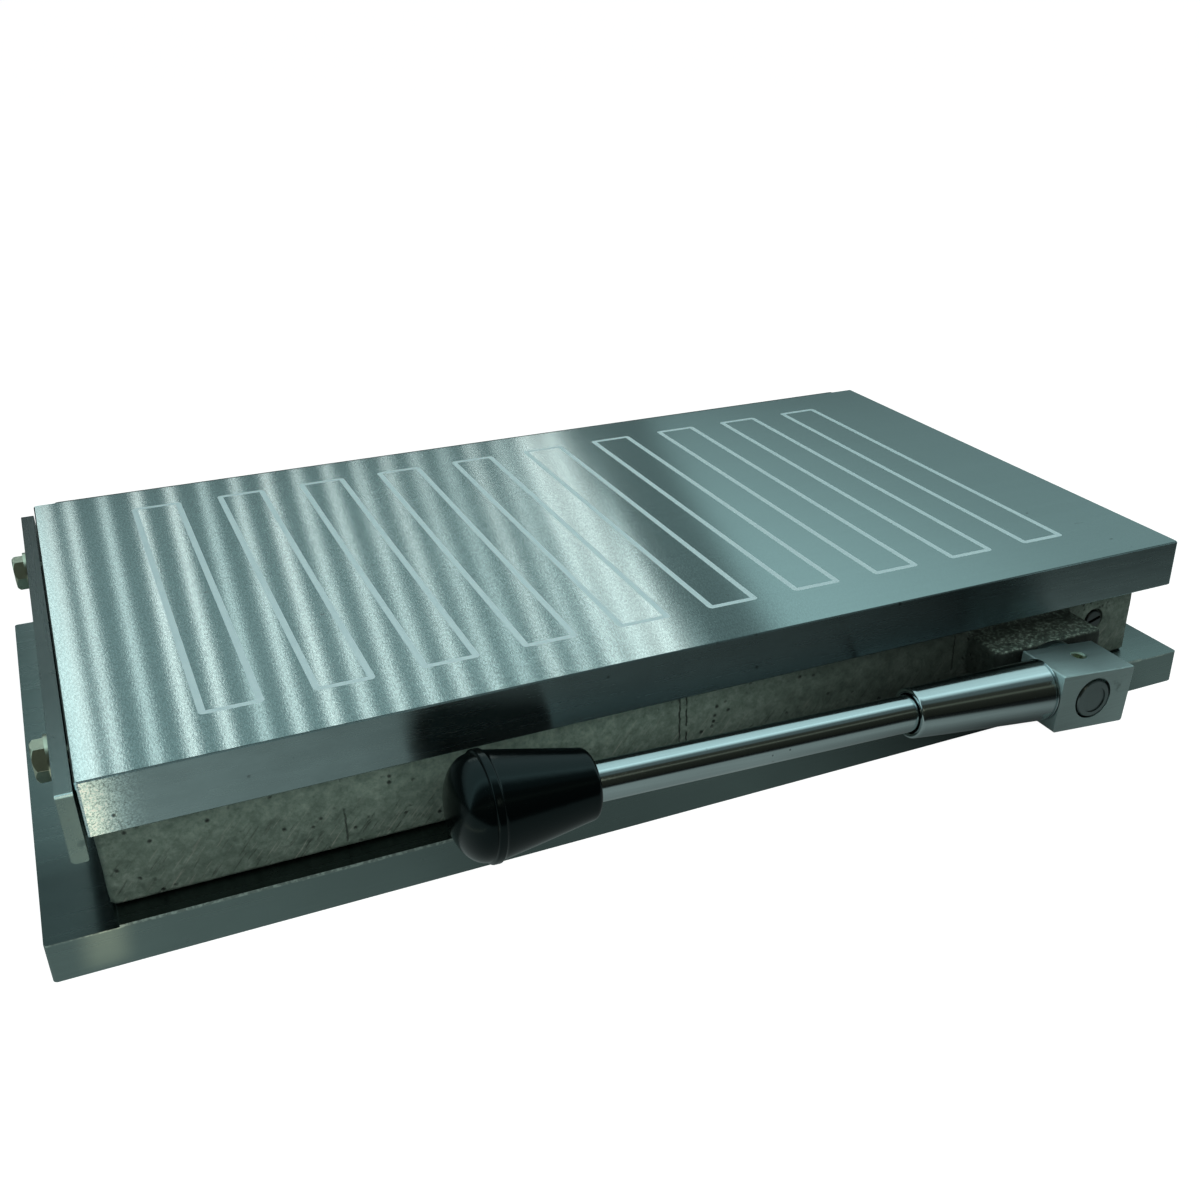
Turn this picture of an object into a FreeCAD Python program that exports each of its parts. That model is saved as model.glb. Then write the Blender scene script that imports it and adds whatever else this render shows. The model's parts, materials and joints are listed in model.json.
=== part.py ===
import FreeCAD, Part
import os
from math import sin, cos, tan, radians, degrees, pi
from FreeCAD import Vector as V

os.makedirs("parts", exist_ok=True)

# ---------------------------------------------------------------- dimensions
# millimetres. Origin: centre of the base underside. +X along the length to the
# right, +Y to the back, +Z up. The lever is on the front (-Y) near the right end.
base_len, base_wid, base_t = 328.0, 178.0, 11.2
base_corner = 0.9
flange_drop, pad_x = 0.5, (-148.2, 149.8)
plate_len, plate_wid, plate_t = 300.0, 176.0, 13.8
plate_front = -94.0
plate_back = plate_front + plate_wid
plate_corner = 0.8
body_len, body_front, body_back, body_h = 299.0, -82.0, 80.0, 27.0
body_corner, body_foot = 2.0, 1.5
z_body = base_t
z_plate = base_t + body_h
z_work = z_plate + plate_t

pole_count, pole_pitch = 10, 25.65
pole_wid, pole_len, pole_strip = 14.6, 142.0, 1.7
pole_front = plate_front + 18.0
pole_corner = 1.3

cav_half_len, cav_front, cav_back = 141.0, -68.0, 68.0

shaft_x, shaft_z, shaft_d = 104.2, 21.6, 11.0
lever_tilt, lever_yaw, hub_tilt = 3.2, 0.7, 4.8
# the handle bar leaves the sleeve with a slight set, downward
sleeve_tilt, bar_tilt, bend_t, bend_l = 4.7, 2.6, 60.0, 6.0
crank_e, crank_pin_d, roller_d = 6.4, 5.0, 8.0
disc_r, disc_t = 9.5, 6.0
disc_y0 = cav_front + 0.3
stroke_angle = 180.0 - 2 * lever_tilt

boss_x0, boss_x1, boss_front, boss_top = 85.6, 123.2, -96.8, 30.5
bush_od, bush_clear = 14.0, 0.05
hub_len, hub_h = 24.8, 17.0
hub_y0, hub_y1 = -116.4, -98.9
arm_y, arm_rise = -107.6, 0.7
sleeve_d0, sleeve_d1, sleeve_bore, sleeve_end = 17.0, 13.5, 10.8, 56.8
sleeve_start, collar_t, collar_d = 12.72, 0.26, 17.2
spigot_d, spigot_in = 12.4, 5.0
rod_d = 10.0
knob_t0, knob_rim, knob_rim_w, knob_t1 = 147.2, 172.1, 2.2, 181.9
knob_d0, knob_d1 = 17.6, 26.7

stop_t, stop_h, stop_gap, stop_travel = 3.6, 17.0, 0.5, 5.0
end_stop_top, end_stop_len = 2.2, 175.5
back_stop_top, back_stop_len = 1.2, 290.0
screw_z = z_work - 9.0
screw_d, slot_w, head_af, head_h, washer_t, washer_d = 5.0, 5.6, 8.6, 3.1, 0.9, 11.4
end_screw_y = (plate_front + 29.0, plate_back - 31.5)
back_screw_x = (-100.0, 0.0, 100.0)

assembly_x = (-142.5, -51.3, 51.3, 142.5)
assembly_y = (-75.0, 74.0)

plug_x, plug_z, plug_d = 134.5, 24.4, 6.0
spot_x, spot_z, spot_d, spot_t = 134.15, 24.75, 7.2, 1.9

pack_half, pack_y0, pack_y1 = 134.0, -60.5, 66.0
pack_z0, pack_z1 = z_body + 1.6, z_plate - 0.3
yoke_t = 4.2
pack_pole_w = 13.0
rest_x = -crank_e * cos(radians(lever_tilt))

parts = {}


def box(x0, x1, y0, y1, z0, z1):
    return Part.makeBox(x1 - x0, y1 - y0, z1 - z0, V(x0, y0, z0))


def cyl(p, d, dia, length):
    return Part.makeCylinder(dia / 2.0, length, p, d)


def cut(a, *tools):
    for t in tools:
        a = a.cut(t)
    return a


def vertical_edges(s, pts, tol=0.05):
    out = []
    for e in s.Edges:
        if e.Length < 1e-6 or len(e.Vertexes) != 2:
            continue
        a, b = e.Vertexes[0].Point, e.Vertexes[1].Point
        if abs(a.x - b.x) < tol and abs(a.y - b.y) < tol and abs(a.z - b.z) > tol:
            if any(abs(a.x - p[0]) < tol and abs(a.y - p[1]) < tol for p in pts):
                out.append(e)
    return out


def edges_at_z(s, z, tol=0.02):
    return [e for e in s.Edges
            if abs(e.BoundBox.ZMin - z) < tol and abs(e.BoundBox.ZMax - z) < tol]


def rounded_block(x0, x1, y0, y1, z0, z1, r):
    s = box(x0, x1, y0, y1, z0, z1)
    return s.makeFillet(r, vertical_edges(s, [(x0, y0), (x1, y0), (x0, y1), (x1, y1)]))


def revolve(pts, origin, axis, angle=360.0, start=None):
    w = Part.makePolygon([V(*q) for q in pts] + [V(*pts[0])])
    return Part.Face(w).revolve(origin, axis, angle)


def hexagon(centre, axis, af, length):
    """Hexagonal bar from centre along axis."""
    r = af / 2.0 / cos(radians(30))
    pts = [V(r * sin(radians(60 * k)), r * cos(radians(60 * k)), 0) for k in range(7)]
    s = Part.Face(Part.makePolygon(pts)).extrude(V(0, 0, length))
    return place(s, centre, axis)


def place(s, centre, axis):
    s = s.copy()
    rot = FreeCAD.Rotation(V(0, 0, 1), V(*axis))
    s.Placement = FreeCAD.Placement(V(*centre), rot).multiply(s.Placement)
    return s


# ---------------------------------------------------------------- base plate
b = rounded_block(-base_len / 2, base_len / 2, -base_wid / 2, base_wid / 2, 0, base_t, base_corner)
for x0, x1 in ((-base_len / 2 - 1, pad_x[0]), (pad_x[1], base_len / 2 + 1)):
    b = b.cut(box(x0, x1, -base_wid, base_wid, base_t - flange_drop, base_t + 5))
b = b.makeChamfer(0.5, edges_at_z(b, 0.0))
counterbore_d, counterbore_h = 10.6, 6.6
for x in assembly_x:
    for y in assembly_y:
        b = cut(b, cyl(V(x, y, -1), V(0, 0, 1), counterbore_d, counterbore_h + 1),
                cyl(V(x, y, -1), V(0, 0, 1), 6.6, 30))
# relief under the crank disc
b = b.cut(cyl(V(shaft_x, disc_y0 - 0.3, shaft_z), V(0, 1, 0), 2 * disc_r + 3.0, disc_t + 1.4))
dowel_d, dowel_h = 5.0, 14.0
dowels_at = ((97.0, 74.0), (-97.0, -75.0))
for x, y in dowels_at:
    b = b.cut(cyl(V(x, y, base_t - 7.5), V(0, 0, 1), dowel_d, 20))
rail_y = (-38.0, 46.0)
rail_w, rail_t, rail_in = 10.0, 2.7, 1.2
for y in rail_y:
    b = b.cut(box(-138, 138, y - rail_w / 2, y + rail_w / 2, base_t - rail_in, base_t + 5))
parts["base_plate"] = b

rails = []
for y in rail_y:
    r = box(-138, 138, y - rail_w / 2, y + rail_w / 2, base_t - rail_in, base_t - rail_in + rail_t)
    for x in (-120, 0, 120):
        r = r.cut(cyl(V(x, y, 0), V(0, 0, 1), 3.0, 30))
        r = r.cut(Part.makeCone(0, 3.2, 3.2, V(x, y, base_t - rail_in + rail_t - 3.0), V(0, 0, 1)))
    rails.append(r)
parts["slide_rails"] = Part.makeCompound(rails)

# ---------------------------------------------------------------- body casting
body = rounded_block(-body_len / 2, body_len / 2, body_front, body_back, z_body, z_plate, body_corner)
foot = [e for e in edges_at_z(body, z_body) if e.Length < body_len + 1]
body = body.makeFillet(body_foot, foot)
boss = box(boss_x0, boss_x1, boss_front, body_front + 5, z_body + 0.8, boss_top)
be = []
for e in boss.Edges:
    bb = e.BoundBox
    if bb.YMax < boss_front + 0.05 or (bb.YLength > 5 and bb.ZLength < 0.1 and bb.XLength < 0.1):
        be.append(e)
boss = boss.makeFillet(0.6, be)
body = body.fuse(boss).removeSplitter()
body = body.cut(box(-cav_half_len, cav_half_len, cav_front, cav_back, z_body - 1, z_plate + 1))
body = body.cut(cyl(V(shaft_x, boss_front - 1, shaft_z), V(0, 1, 0), bush_od, cav_front - boss_front + 2))
for x in assembly_x:
    for y in assembly_y:
        body = body.cut(cyl(V(x, y, z_body - 1), V(0, 0, 1), 6.6, body_h + 2))
for x, y in dowels_at:
    body = body.cut(cyl(V(x, y, z_body - 1), V(0, 0, 1), dowel_d, 1 + dowel_h - 7.4))
# recessed threaded port on the front face
body = cut(body, cyl(V(spot_x, body_front - 1, spot_z), V(0, 1, 0), spot_d, 1 + spot_t),
           cyl(V(plug_x, body_front - 1, plug_z), V(0, 1, 0), plug_d, 20))
# pocket for the lever limit pin
lim_r, lim_d, lim_out = 7.9, 2.5, 2.0
lim_p = V(shaft_x, cav_front, shaft_z - lim_r)
body = body.cut(cyl(V(lim_p.x, cav_front - 5.0, lim_p.z), V(0, 1, 0), lim_d, 6.0))
parts["body_casting"] = body

limit_pin = cyl(V(lim_p.x, cav_front - 5.0, lim_p.z), V(0, 1, 0), lim_d, 5.0 + lim_out)
parts["limit_pin"] = limit_pin

dow = [cyl(V(x, y, base_t - 7.0), V(0, 0, 1), dowel_d, dowel_h - 0.6) for x, y in dowels_at]
parts["dowel_pins"] = Part.makeCompound(dow)

# ---------------------------------------------------------------- top plate
plate = rounded_block(-plate_len / 2, plate_len / 2, plate_front, plate_back, z_plate, z_work, plate_corner)
plate = plate.makeChamfer(0.35, edges_at_z(plate, z_work) + edges_at_z(plate, z_plate))
seps, bars = [], []
for i in range(pole_count):
    xc = (i - (pole_count - 1) / 2.0) * pole_pitch
    o = rounded_block(xc - pole_wid / 2, xc + pole_wid / 2, pole_front, pole_front + pole_len, z_plate, z_work, pole_corner)
    n = box(xc - pole_wid / 2 + pole_strip, xc + pole_wid / 2 - pole_strip,
            pole_front + pole_strip, pole_front + pole_len - pole_strip, z_plate, z_work)
    plate = plate.cut(o)
    seps.append(o.cut(n))
    bars.append(n)
screw_len_in = 11.0
for y in end_screw_y:
    plate = plate.cut(cyl(V(-plate_len / 2 - 1, y, screw_z), V(1, 0, 0), screw_d + 0.1, screw_len_in + 2.5))
for x in back_screw_x:
    plate = plate.cut(cyl(V(x, plate_back + 1, screw_z), V(0, -1, 0), screw_d + 0.1, screw_len_in + 2.5))
assembly_tip = z_plate + 8.6
for x in assembly_x:
    for y in assembly_y:
        plate = plate.cut(cyl(V(x, y, z_plate - 1), V(0, 0, 1), 6.1, assembly_tip - z_plate + 1.4))
parts["top_plate"] = plate
parts["pole_separators"] = Part.makeCompound(seps)
parts["pole_bars"] = Part.makeCompound(bars)

# long socket head screws from below
scr = []
for x in assembly_x:
    for y in assembly_y:
        s = cyl(V(x, y, 0.5), V(0, 0, 1), 10.0, counterbore_h - 0.6)
        s = s.makeChamfer(0.5, [e for e in edges_at_z(s, 0.5)])
        s = s.fuse(cyl(V(x, y, 4.0), V(0, 0, 1), 6.0, assembly_tip - 4.0)).removeSplitter()
        s = s.cut(hexagon((x, y, -1), (0, 0, 1), 5.0, 4.5))
        scr.append(s)
parts["assembly_screws"] = Part.makeCompound(scr)

# ---------------------------------------------------------------- slotted port plug
plug_y = body_front + 0.3
plug = cyl(V(plug_x, plug_y, plug_z), V(0, 1, 0), plug_d - 0.1, 10.3)
plug = plug.makeChamfer(0.25, [e for e in plug.Edges if e.BoundBox.YMax < plug_y + 0.05 and e.BoundBox.YLength < 0.01])
sl = box(-5, 5, -1, 1.0, -0.5, 0.5)
sl.rotate(V(0, 0, 0), V(0, 1, 0), -17)
sl.translate(V(plug_x, plug_y, plug_z))
parts["port_plug"] = plug.cut(sl)
# oil wick behind the plug
parts["oil_wick"] = cyl(V(plug_x, body_front + 10.8, plug_z), V(0, 1, 0), plug_d - 0.2, cav_front - body_front - 11.2)

# ---------------------------------------------------------------- bushing
bush = cyl(V(shaft_x, boss_front, shaft_z), V(0, 1, 0), bush_od, cav_front - boss_front)
bush = bush.cut(cyl(V(shaft_x, boss_front - 1, shaft_z), V(0, 1, 0), shaft_d + 2 * bush_clear, 60))
bush = bush.cut(cyl(V(lim_p.x, cav_front - 5.0, lim_p.z), V(0, 1, 0), lim_d, 6.0))
parts["shaft_bushing"] = bush

# ---------------------------------------------------------------- lever
thrust_t = boss_front - 0.15 - hub_y1
tw = cyl(V(shaft_x, hub_y1, shaft_z), V(0, 1, 0), 18.4, thrust_t)
tw = tw.cut(cyl(V(shaft_x, hub_y1 - 5, shaft_z), V(0, 1, 0), shaft_d + 0.2, 10))
parts["thrust_washer"] = tw


def turn(s, deg):
    """Turn about the shaft axis: positive lifts the -X side."""
    s = s.copy()
    s.rotate(V(shaft_x, 0, shaft_z), V(0, 1, 0), deg)
    return s


sy0 = hub_y0 + 0.1
shaft = cyl(V(shaft_x, sy0, shaft_z), V(0, 1, 0), shaft_d, disc_y0 - sy0 + 1.0)
shaft = shaft.makeChamfer(0.3, [e for e in shaft.Edges if e.BoundBox.YMax < sy0 + 0.01])
shaft = shaft.cut(cyl(V(shaft_x + 0.3, sy0 - 1, shaft_z - 0.3), V(0, 1, 0), 7.6, 1.35))
shaft = shaft.fuse(cyl(V(shaft_x, disc_y0, shaft_z), V(0, 1, 0), 2 * disc_r, disc_t)).removeSplitter()
# limit step in the disc face, open over the stroke angle
margin = 12.5
ring = Part.makePolygon([V(shaft_x + lim_r - 1.65, disc_y0 - 1, shaft_z), V(shaft_x + disc_r + 1, disc_y0 - 1, shaft_z),
                         V(shaft_x + disc_r + 1, disc_y0 + 2.4, shaft_z), V(shaft_x + lim_r - 1.65, disc_y0 + 2.4, shaft_z),
                         V(shaft_x + lim_r - 1.65, disc_y0 - 1, shaft_z)])
step = Part.Face(ring).revolve(V(shaft_x, 0, shaft_z), V(0, 1, 0), stroke_angle + 2 * margin)
# the profile lies on +X; bring its start to the angle seen by the pin at the end of the stroke
step = turn(step, (270.0 - stroke_angle - margin) - 180.0)
shaft = shaft.cut(step)
# groove for the ring seal, flat for the set screw, hole for the crank pin
seal_y = boss_front + 4.0
groove = cyl(V(shaft_x, seal_y - 1.0, shaft_z), V(0, 1, 0), shaft_d + 4, 2.0)
groove = groove.cut(cyl(V(shaft_x, seal_y - 2.0, shaft_z), V(0, 1, 0), shaft_d - 3.6, 4.0))
shaft = shaft.cut(groove)
cpx, cpz = shaft_x - crank_e * cos(radians(lever_tilt)), shaft_z + crank_e * sin(radians(lever_tilt))
disc_y1 = disc_y0 + disc_t
shaft = shaft.cut(cyl(V(cpx, disc_y0 + 2.6, cpz), V(0, 1, 0), crank_pin_d, disc_t))
set_y, set_dx = -106.0, 1.4
flat = turn(box(shaft_x + set_dx - 3.2, shaft_x + set_dx + 3.2, set_y - 3.2, set_y + 3.2, shaft_z + shaft_d / 2 - 0.8, shaft_z + shaft_d), hub_tilt)
shaft = shaft.cut(flat)
parts["drive_shaft"] = shaft
parts["shaft_seal"] = Part.makeTorus(shaft_d / 2 - 0.9, 0.88, V(shaft_x, seal_y, shaft_z), V(0, 1, 0))
parts["crank_pin"] = cyl(V(cpx, disc_y0 + 2.6, cpz), V(0, 1, 0), crank_pin_d, -61.4 + 10.2 - disc_y0 - 2.6)
roller = cyl(V(cpx, disc_y1 + 0.3, cpz), V(0, 1, 0), roller_d, 9.4)
parts["crank_roller"] = roller.cut(cyl(V(cpx, disc_y1 - 1, cpz), V(0, 1, 0), crank_pin_d + 0.06, 20))

hub = box(shaft_x - hub_len / 2, shaft_x + hub_len / 2, hub_y0, hub_y1, shaft_z - hub_h / 2, shaft_z + hub_h / 2)
low = [e for e in hub.Edges if e.BoundBox.YLength > 5 and e.BoundBox.ZMax < shaft_z]
hub = hub.makeFillet(0.7, low)
hub = hub.makeChamfer(0.25, [e for e in hub.Edges if e.BoundBox.ZMin > shaft_z + hub_h / 2 - 0.01])
bore_d = shaft_d + 0.3
hub = hub.cut(cyl(V(shaft_x, hub_y0 - 1, shaft_z), V(0, 1, 0), bore_d, 40))
# shallow relief round the shaft end, bored off centre
hub = hub.cut(cyl(V(shaft_x - 0.45, hub_y0 - 1, shaft_z + 0.4), V(0, 1, 0), 12.2, 1 + 2.4))
set_d = 4.6
hub = hub.cut(cyl(V(shaft_x + set_dx, set_y, shaft_z), V(0, 0, 1), set_d, 30))
hub = turn(hub, hub_tilt)

# lever axes: the sleeve's, and the bar's beyond the bend


def lever_dir(tilt):
    a, bb = radians(tilt), radians(lever_yaw)
    return V(-cos(a) * cos(bb), -sin(bb), sin(a) * cos(bb))


dvec, bvec = lever_dir(sleeve_tilt), lever_dir(bar_tilt)
arm0 = V(shaft_x, arm_y, shaft_z + arm_rise)
arm1 = arm0 + (dvec - bvec) * bend_t


def turned(profile, origin=arm0, along=dvec):
    """Solid of revolution about a lever axis from (t, r) points."""
    n = along.cross(V(0, 0, 1))
    n.normalize()
    pts = [origin + along * t + n * r for t, r in profile]
    w = Part.makePolygon(pts + [pts[0]])
    return Part.Face(w).revolve(origin, along, 360)


rod_in = 6.6
hub = hub.cut(turned([(rod_in - 0.5, 0), (40, 0), (40, rod_d / 2 + 0.03), (rod_in - 0.5, rod_d / 2 + 0.03)]))
spig_t = 12.4 - spigot_in
hub = hub.cut(turned([(spig_t - 0.3, 0), (40, 0), (40, spigot_d / 2 + 0.05), (spig_t - 0.3, spigot_d / 2 + 0.05)]))
parts["lever_hub"] = hub

sset = cyl(V(shaft_x + set_dx, set_y, shaft_z + shaft_d / 2 - 0.75), V(0, 0, 1), set_d - 0.06, hub_h / 2 - shaft_d / 2 + 0.75 - 0.35)
top = shaft_z + hub_h / 2 - 0.35
sset = sset.makeChamfer(0.3, edges_at_z(sset, top))
sset = sset.cut(hexagon((shaft_x + set_dx, set_y, top + 1), (0, 0, -1), 2.4, 2.4))
parts["hub_set_screw"] = turn(sset, hub_tilt)

c = 0.7
sleeve = turned([(spig_t, sleeve_bore / 2), (spig_t, spigot_d / 2), (sleeve_start, spigot_d / 2),
                 (sleeve_start, collar_d / 2), (sleeve_start + collar_t, collar_d / 2),
                 (sleeve_start + collar_t, sleeve_d0 / 2 - c), (sleeve_start + collar_t + c, sleeve_d0 / 2),
                 (sleeve_end - 0.6, sleeve_d1 / 2), (sleeve_end, sleeve_d1 / 2 - 0.5),
                 (sleeve_end, sleeve_bore / 2)])
parts["lever_sleeve"] = sleeve
rod_end = knob_t0 + 20.0
b0, b1 = bend_t - bend_l / 2, bend_t + bend_l / 2
side = dvec.cross(bvec)
side.normalize()
turn_by = degrees(dvec.getAngle(bvec))
disc = Part.Face(Part.Wire(Part.makeCircle(rod_d / 2, arm0 + dvec * b0, dvec)))
bend = disc.revolve(arm0 + dvec * b0 + side.cross(dvec) * (bend_l / 2 / tan(radians(turn_by / 2))), side, turn_by)
rod = turned([(rod_in, 0), (rod_in, rod_d / 2), (b0, rod_d / 2), (b0, 0)])
tip = turned([(b1, 0), (b1, rod_d / 2), (knob_t0 - 0.1, rod_d / 2), (knob_t0 - 0.1, 4.0), (rod_end, 4.0), (rod_end, 0)], arm1, bvec)
rod = rod.fuse([bend, tip]).removeSplitter()
parts["lever_rod"] = rod

kp = [(knob_t0, 4.4), (knob_t0, knob_d0 / 2 - 1.6)]
for k in range(1, 6):
    th = radians(90 - 90 * k / 5.0)
    kp.append((knob_t0 + 1.6 * (1 - cos(radians(90 * k / 5.0)) ), knob_d0 / 2 - 1.6 + 1.6 * sin(radians(90 * k / 5.0))))
rim = knob_d1 / 2
kp += [(knob_rim - 0.5, rim - 0.35), (knob_rim - 0.25, rim - 0.55), (knob_rim, rim - 0.15), (knob_rim + 0.4, rim),
       (knob_rim + knob_rim_w - 0.4, rim), (knob_rim + knob_rim_w, rim - 0.15), (knob_rim + knob_rim_w + 0.3, rim - 0.5)]
dome0 = knob_rim + knob_rim_w + 0.3
dome_h = knob_t1 - dome0
nd = 14
for k in range(1, nd):
    th = radians(90.0 * k / nd)
    kp.append((dome0 + dome_h * sin(th), (rim - 0.5) * cos(th) ** 0.94))
kp += [(knob_t1, 0.0), (rod_end + 0.3, 0.0), (rod_end + 0.3, 4.4)]
parts["lever_knob"] = turned(kp, arm1, bvec)
insert = turned([(knob_t0 + 1.3, 4.03), (knob_t0 + 1.3, 4.4), (rod_end, 4.4), (rod_end, 4.03)], arm1, bvec)
parts["knob_insert"] = insert

# ---------------------------------------------------------------- magnet pack
px = rest_x


def pbox(x0, x1, y0, y1, z0, z1):
    return box(px + x0, px + x1, y0, y1, z0, z1)


in_half, in_y0, in_y1 = 122.4, pack_y0 + 10.0, pack_y1 - 8.0
frame = pbox(-pack_half, pack_half, pack_y0, pack_y1, pack_z0, pack_z1)
frame = frame.cut(pbox(-in_half, in_half, in_y0, in_y1, pack_z0 - 1, pack_z1 + 1))
frame = frame.makeFillet(2.0, vertical_edges(frame, [(px - pack_half, pack_y0), (px + pack_half, pack_y0),
                                                       (px - pack_half, pack_y1), (px + pack_half, pack_y1)]))
db_half, db_z0, db_z1 = 11.0, pack_z0, pack_z1 - 2.0
frame = frame.cut(box(px + shaft_x - db_half, px + shaft_x + db_half, pack_y0 - 1, in_y0 + 1, db_z0 - 1, db_z1))
slot_half = roller_d / 2 + 1.35
sz0, sz1 = shaft_z - roller_d / 2 - 0.5, shaft_z + crank_e + roller_d / 2 + 0.5
db = box(px + shaft_x - db_half, px + shaft_x + db_half, pack_y0, in_y0, db_z0, db_z1)
db = db.cut(box(px + shaft_x - slot_half, px + shaft_x + slot_half, pack_y0 - 1, in_y0 + 1, sz0, sz1))
parts["drive_block"] = db
ps = []
for sx in (-1, 1):
    for y in (-30.0, 36.0):
        d0 = V(px + sx * (pack_half - 1.0), y, pack_z0 + yoke_t / 2)
        dd = V(-sx, 0, 0)
        frame = frame.cut(cyl(V(px + sx * (pack_half + 1), y, pack_z0 + yoke_t / 2), dd, 3.0, 20.0))
        ps.append(cyl(d0, dd, 2.96, pack_half - 1.0 - in_half + 6.0))
parts["pack_frame"] = frame
yoke = pbox(-in_half, in_half, in_y0, in_y1, pack_z0, pack_z0 + yoke_t)
for sx in (-1, 1):
    for y in (-30.0, 36.0):
        yoke = yoke.cut(cyl(V(px + sx * (in_half + 1), y, pack_z0 + yoke_t / 2), V(-sx, 0, 0), 3.0, 8.0))
parts["pack_yoke"] = yoke
parts["pack_screws"] = Part.makeCompound(ps)
pb, mg = [], []
for i in range(pole_count):
    xc = (i - (pole_count - 1) / 2.0) * pole_pitch
    pb.append(pbox(xc - pack_pole_w / 2, xc + pack_pole_w / 2, in_y0, in_y1, pack_z0 + yoke_t, pack_z1))
    if i < pole_count - 1:
        m0, m1 = xc + pack_pole_w / 2, xc + pole_pitch - pack_pole_w / 2
        n = 3
        w = (in_y1 - in_y0) / n
        for k in range(n):
            mg.append(pbox(m0, m1, in_y0 + k * w + 0.15, in_y0 + (k + 1) * w - 0.15, pack_z0 + yoke_t, pack_z1 - 1.5))
parts["pack_poles"] = Part.makeCompound(pb)
parts["pack_magnets"] = Part.makeCompound(mg)

# ---------------------------------------------------------------- stops
ex1 = -plate_len / 2 - stop_gap
ex0 = ex1 - stop_t
ez1 = z_work - end_stop_top
ez0 = ez1 - stop_h
ey0, ey1 = plate_front, plate_front + end_stop_len
es = box(ex0, ex1, ey0, ey1, ez0, ez1)
es = es.makeFillet(2.5, [e for e in es.Edges if e.BoundBox.XLength > 3 and e.BoundBox.ZMin > ez1 - 0.1 and e.BoundBox.YMin > ey1 - 0.1])
es = es.makeFillet(1.1, [e for e in es.Edges if e.BoundBox.YLength > 100 and e.BoundBox.ZMax < ez0 + 0.1 and e.BoundBox.XMax < ex0 + 0.1])
es = es.makeFillet(0.6, [e for e in es.Edges if e.BoundBox.YLength > 100 and e.BoundBox.ZMax < ez0 + 0.1 and e.BoundBox.XMin > ex1 - 0.1])


def slot_tool(p, d, w, drop, length):
    """Slot through along d, running down from the screw."""
    t = cyl(p, d, w, length).fuse(cyl(V(p.x, p.y, p.z - drop), d, w, length))
    if abs(d.x) > 0.5:
        x0, x1 = sorted((p.x, p.x + d.x * length))
        t = t.fuse(box(x0, x1, p.y - w / 2, p.y + w / 2, p.z - drop, p.z))
    else:
        y0, y1 = sorted((p.y, p.y + d.y * length))
        t = t.fuse(box(p.x - w / 2, p.x + w / 2, y0, y1, p.z - drop, p.z))
    return t.removeSplitter()


for y in end_screw_y:
    es = es.cut(slot_tool(V(ex1 + 1, y, screw_z), V(-1, 0, 0), slot_w, stop_travel, stop_t + 2))
parts["end_stop"] = es

by0 = plate_back + stop_gap
by1 = by0 + stop_t
bz1 = z_work - back_stop_top
bz0 = bz1 - stop_h
bs = box(-back_stop_len / 2, back_stop_len / 2, by0, by1, bz0, bz1)
bs = bs.makeFillet(2.0, [e for e in bs.Edges if e.BoundBox.YLength > 3])
for x in back_screw_x:
    bs = bs.cut(slot_tool(V(x, by0 - 1, screw_z), V(0, 1, 0), slot_w, stop_travel, stop_t + 2))
parts["back_stop"] = bs


def hex_screw(p, d, shank):
    """p: under the head, d: direction of the shank."""
    p, d = V(*p), V(*d)
    h = hexagon(tuple(p), (-d.x, -d.y, -d.z), head_af, head_h)
    # turned crown: common with a chamfered cylinder
    rr = head_af / 2 / cos(radians(30)) + 0.02
    crown = Part.makeCylinder(rr, head_h, V(0, 0, 0), V(0, 0, 1))
    crown = crown.makeChamfer(0.75, [e for e in crown.Edges if e.BoundBox.ZMin > head_h - 0.01])
    h = h.common(place(crown, tuple(p), (-d.x, -d.y, -d.z)))
    return h.fuse(cyl(p, d, screw_d, shank)).removeSplitter()


def washer(p, d):
    w = cyl(V(*p), V(*d), washer_d, washer_t)
    return w.cut(cyl(V(*p), V(*d), screw_d + 0.5, washer_t))


wgap = 0.1
sc, wa = [], []
for y in end_screw_y:
    wa.append(washer((ex0 - wgap - washer_t, y, screw_z), (1, 0, 0)))
    sc.append(hex_screw((ex0 - wgap - washer_t, y, screw_z), (1, 0, 0), wgap + washer_t + stop_t + stop_gap + screw_len_in))
parts["end_stop_screws"] = Part.makeCompound(sc)
parts["end_stop_washers"] = Part.makeCompound(wa)
sc, wa = [], []
for x in back_screw_x:
    wa.append(washer((x, by1 + wgap + washer_t, screw_z), (0, -1, 0)))
    sc.append(hex_screw((x, by1 + wgap + washer_t, screw_z), (0, -1, 0), wgap + washer_t + stop_t + stop_gap + screw_len_in))
parts["back_stop_screws"] = Part.makeCompound(sc)
parts["back_stop_washers"] = Part.makeCompound(wa)

for name, shape in parts.items():
    if not shape.isValid():
        raise RuntimeError("invalid shape: " + name)
    shape.exportStep(os.path.join("parts", name + ".step"))
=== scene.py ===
import bpy
import bmesh
import json
import math
import random
from mathutils import Matrix, Vector, noise


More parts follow.
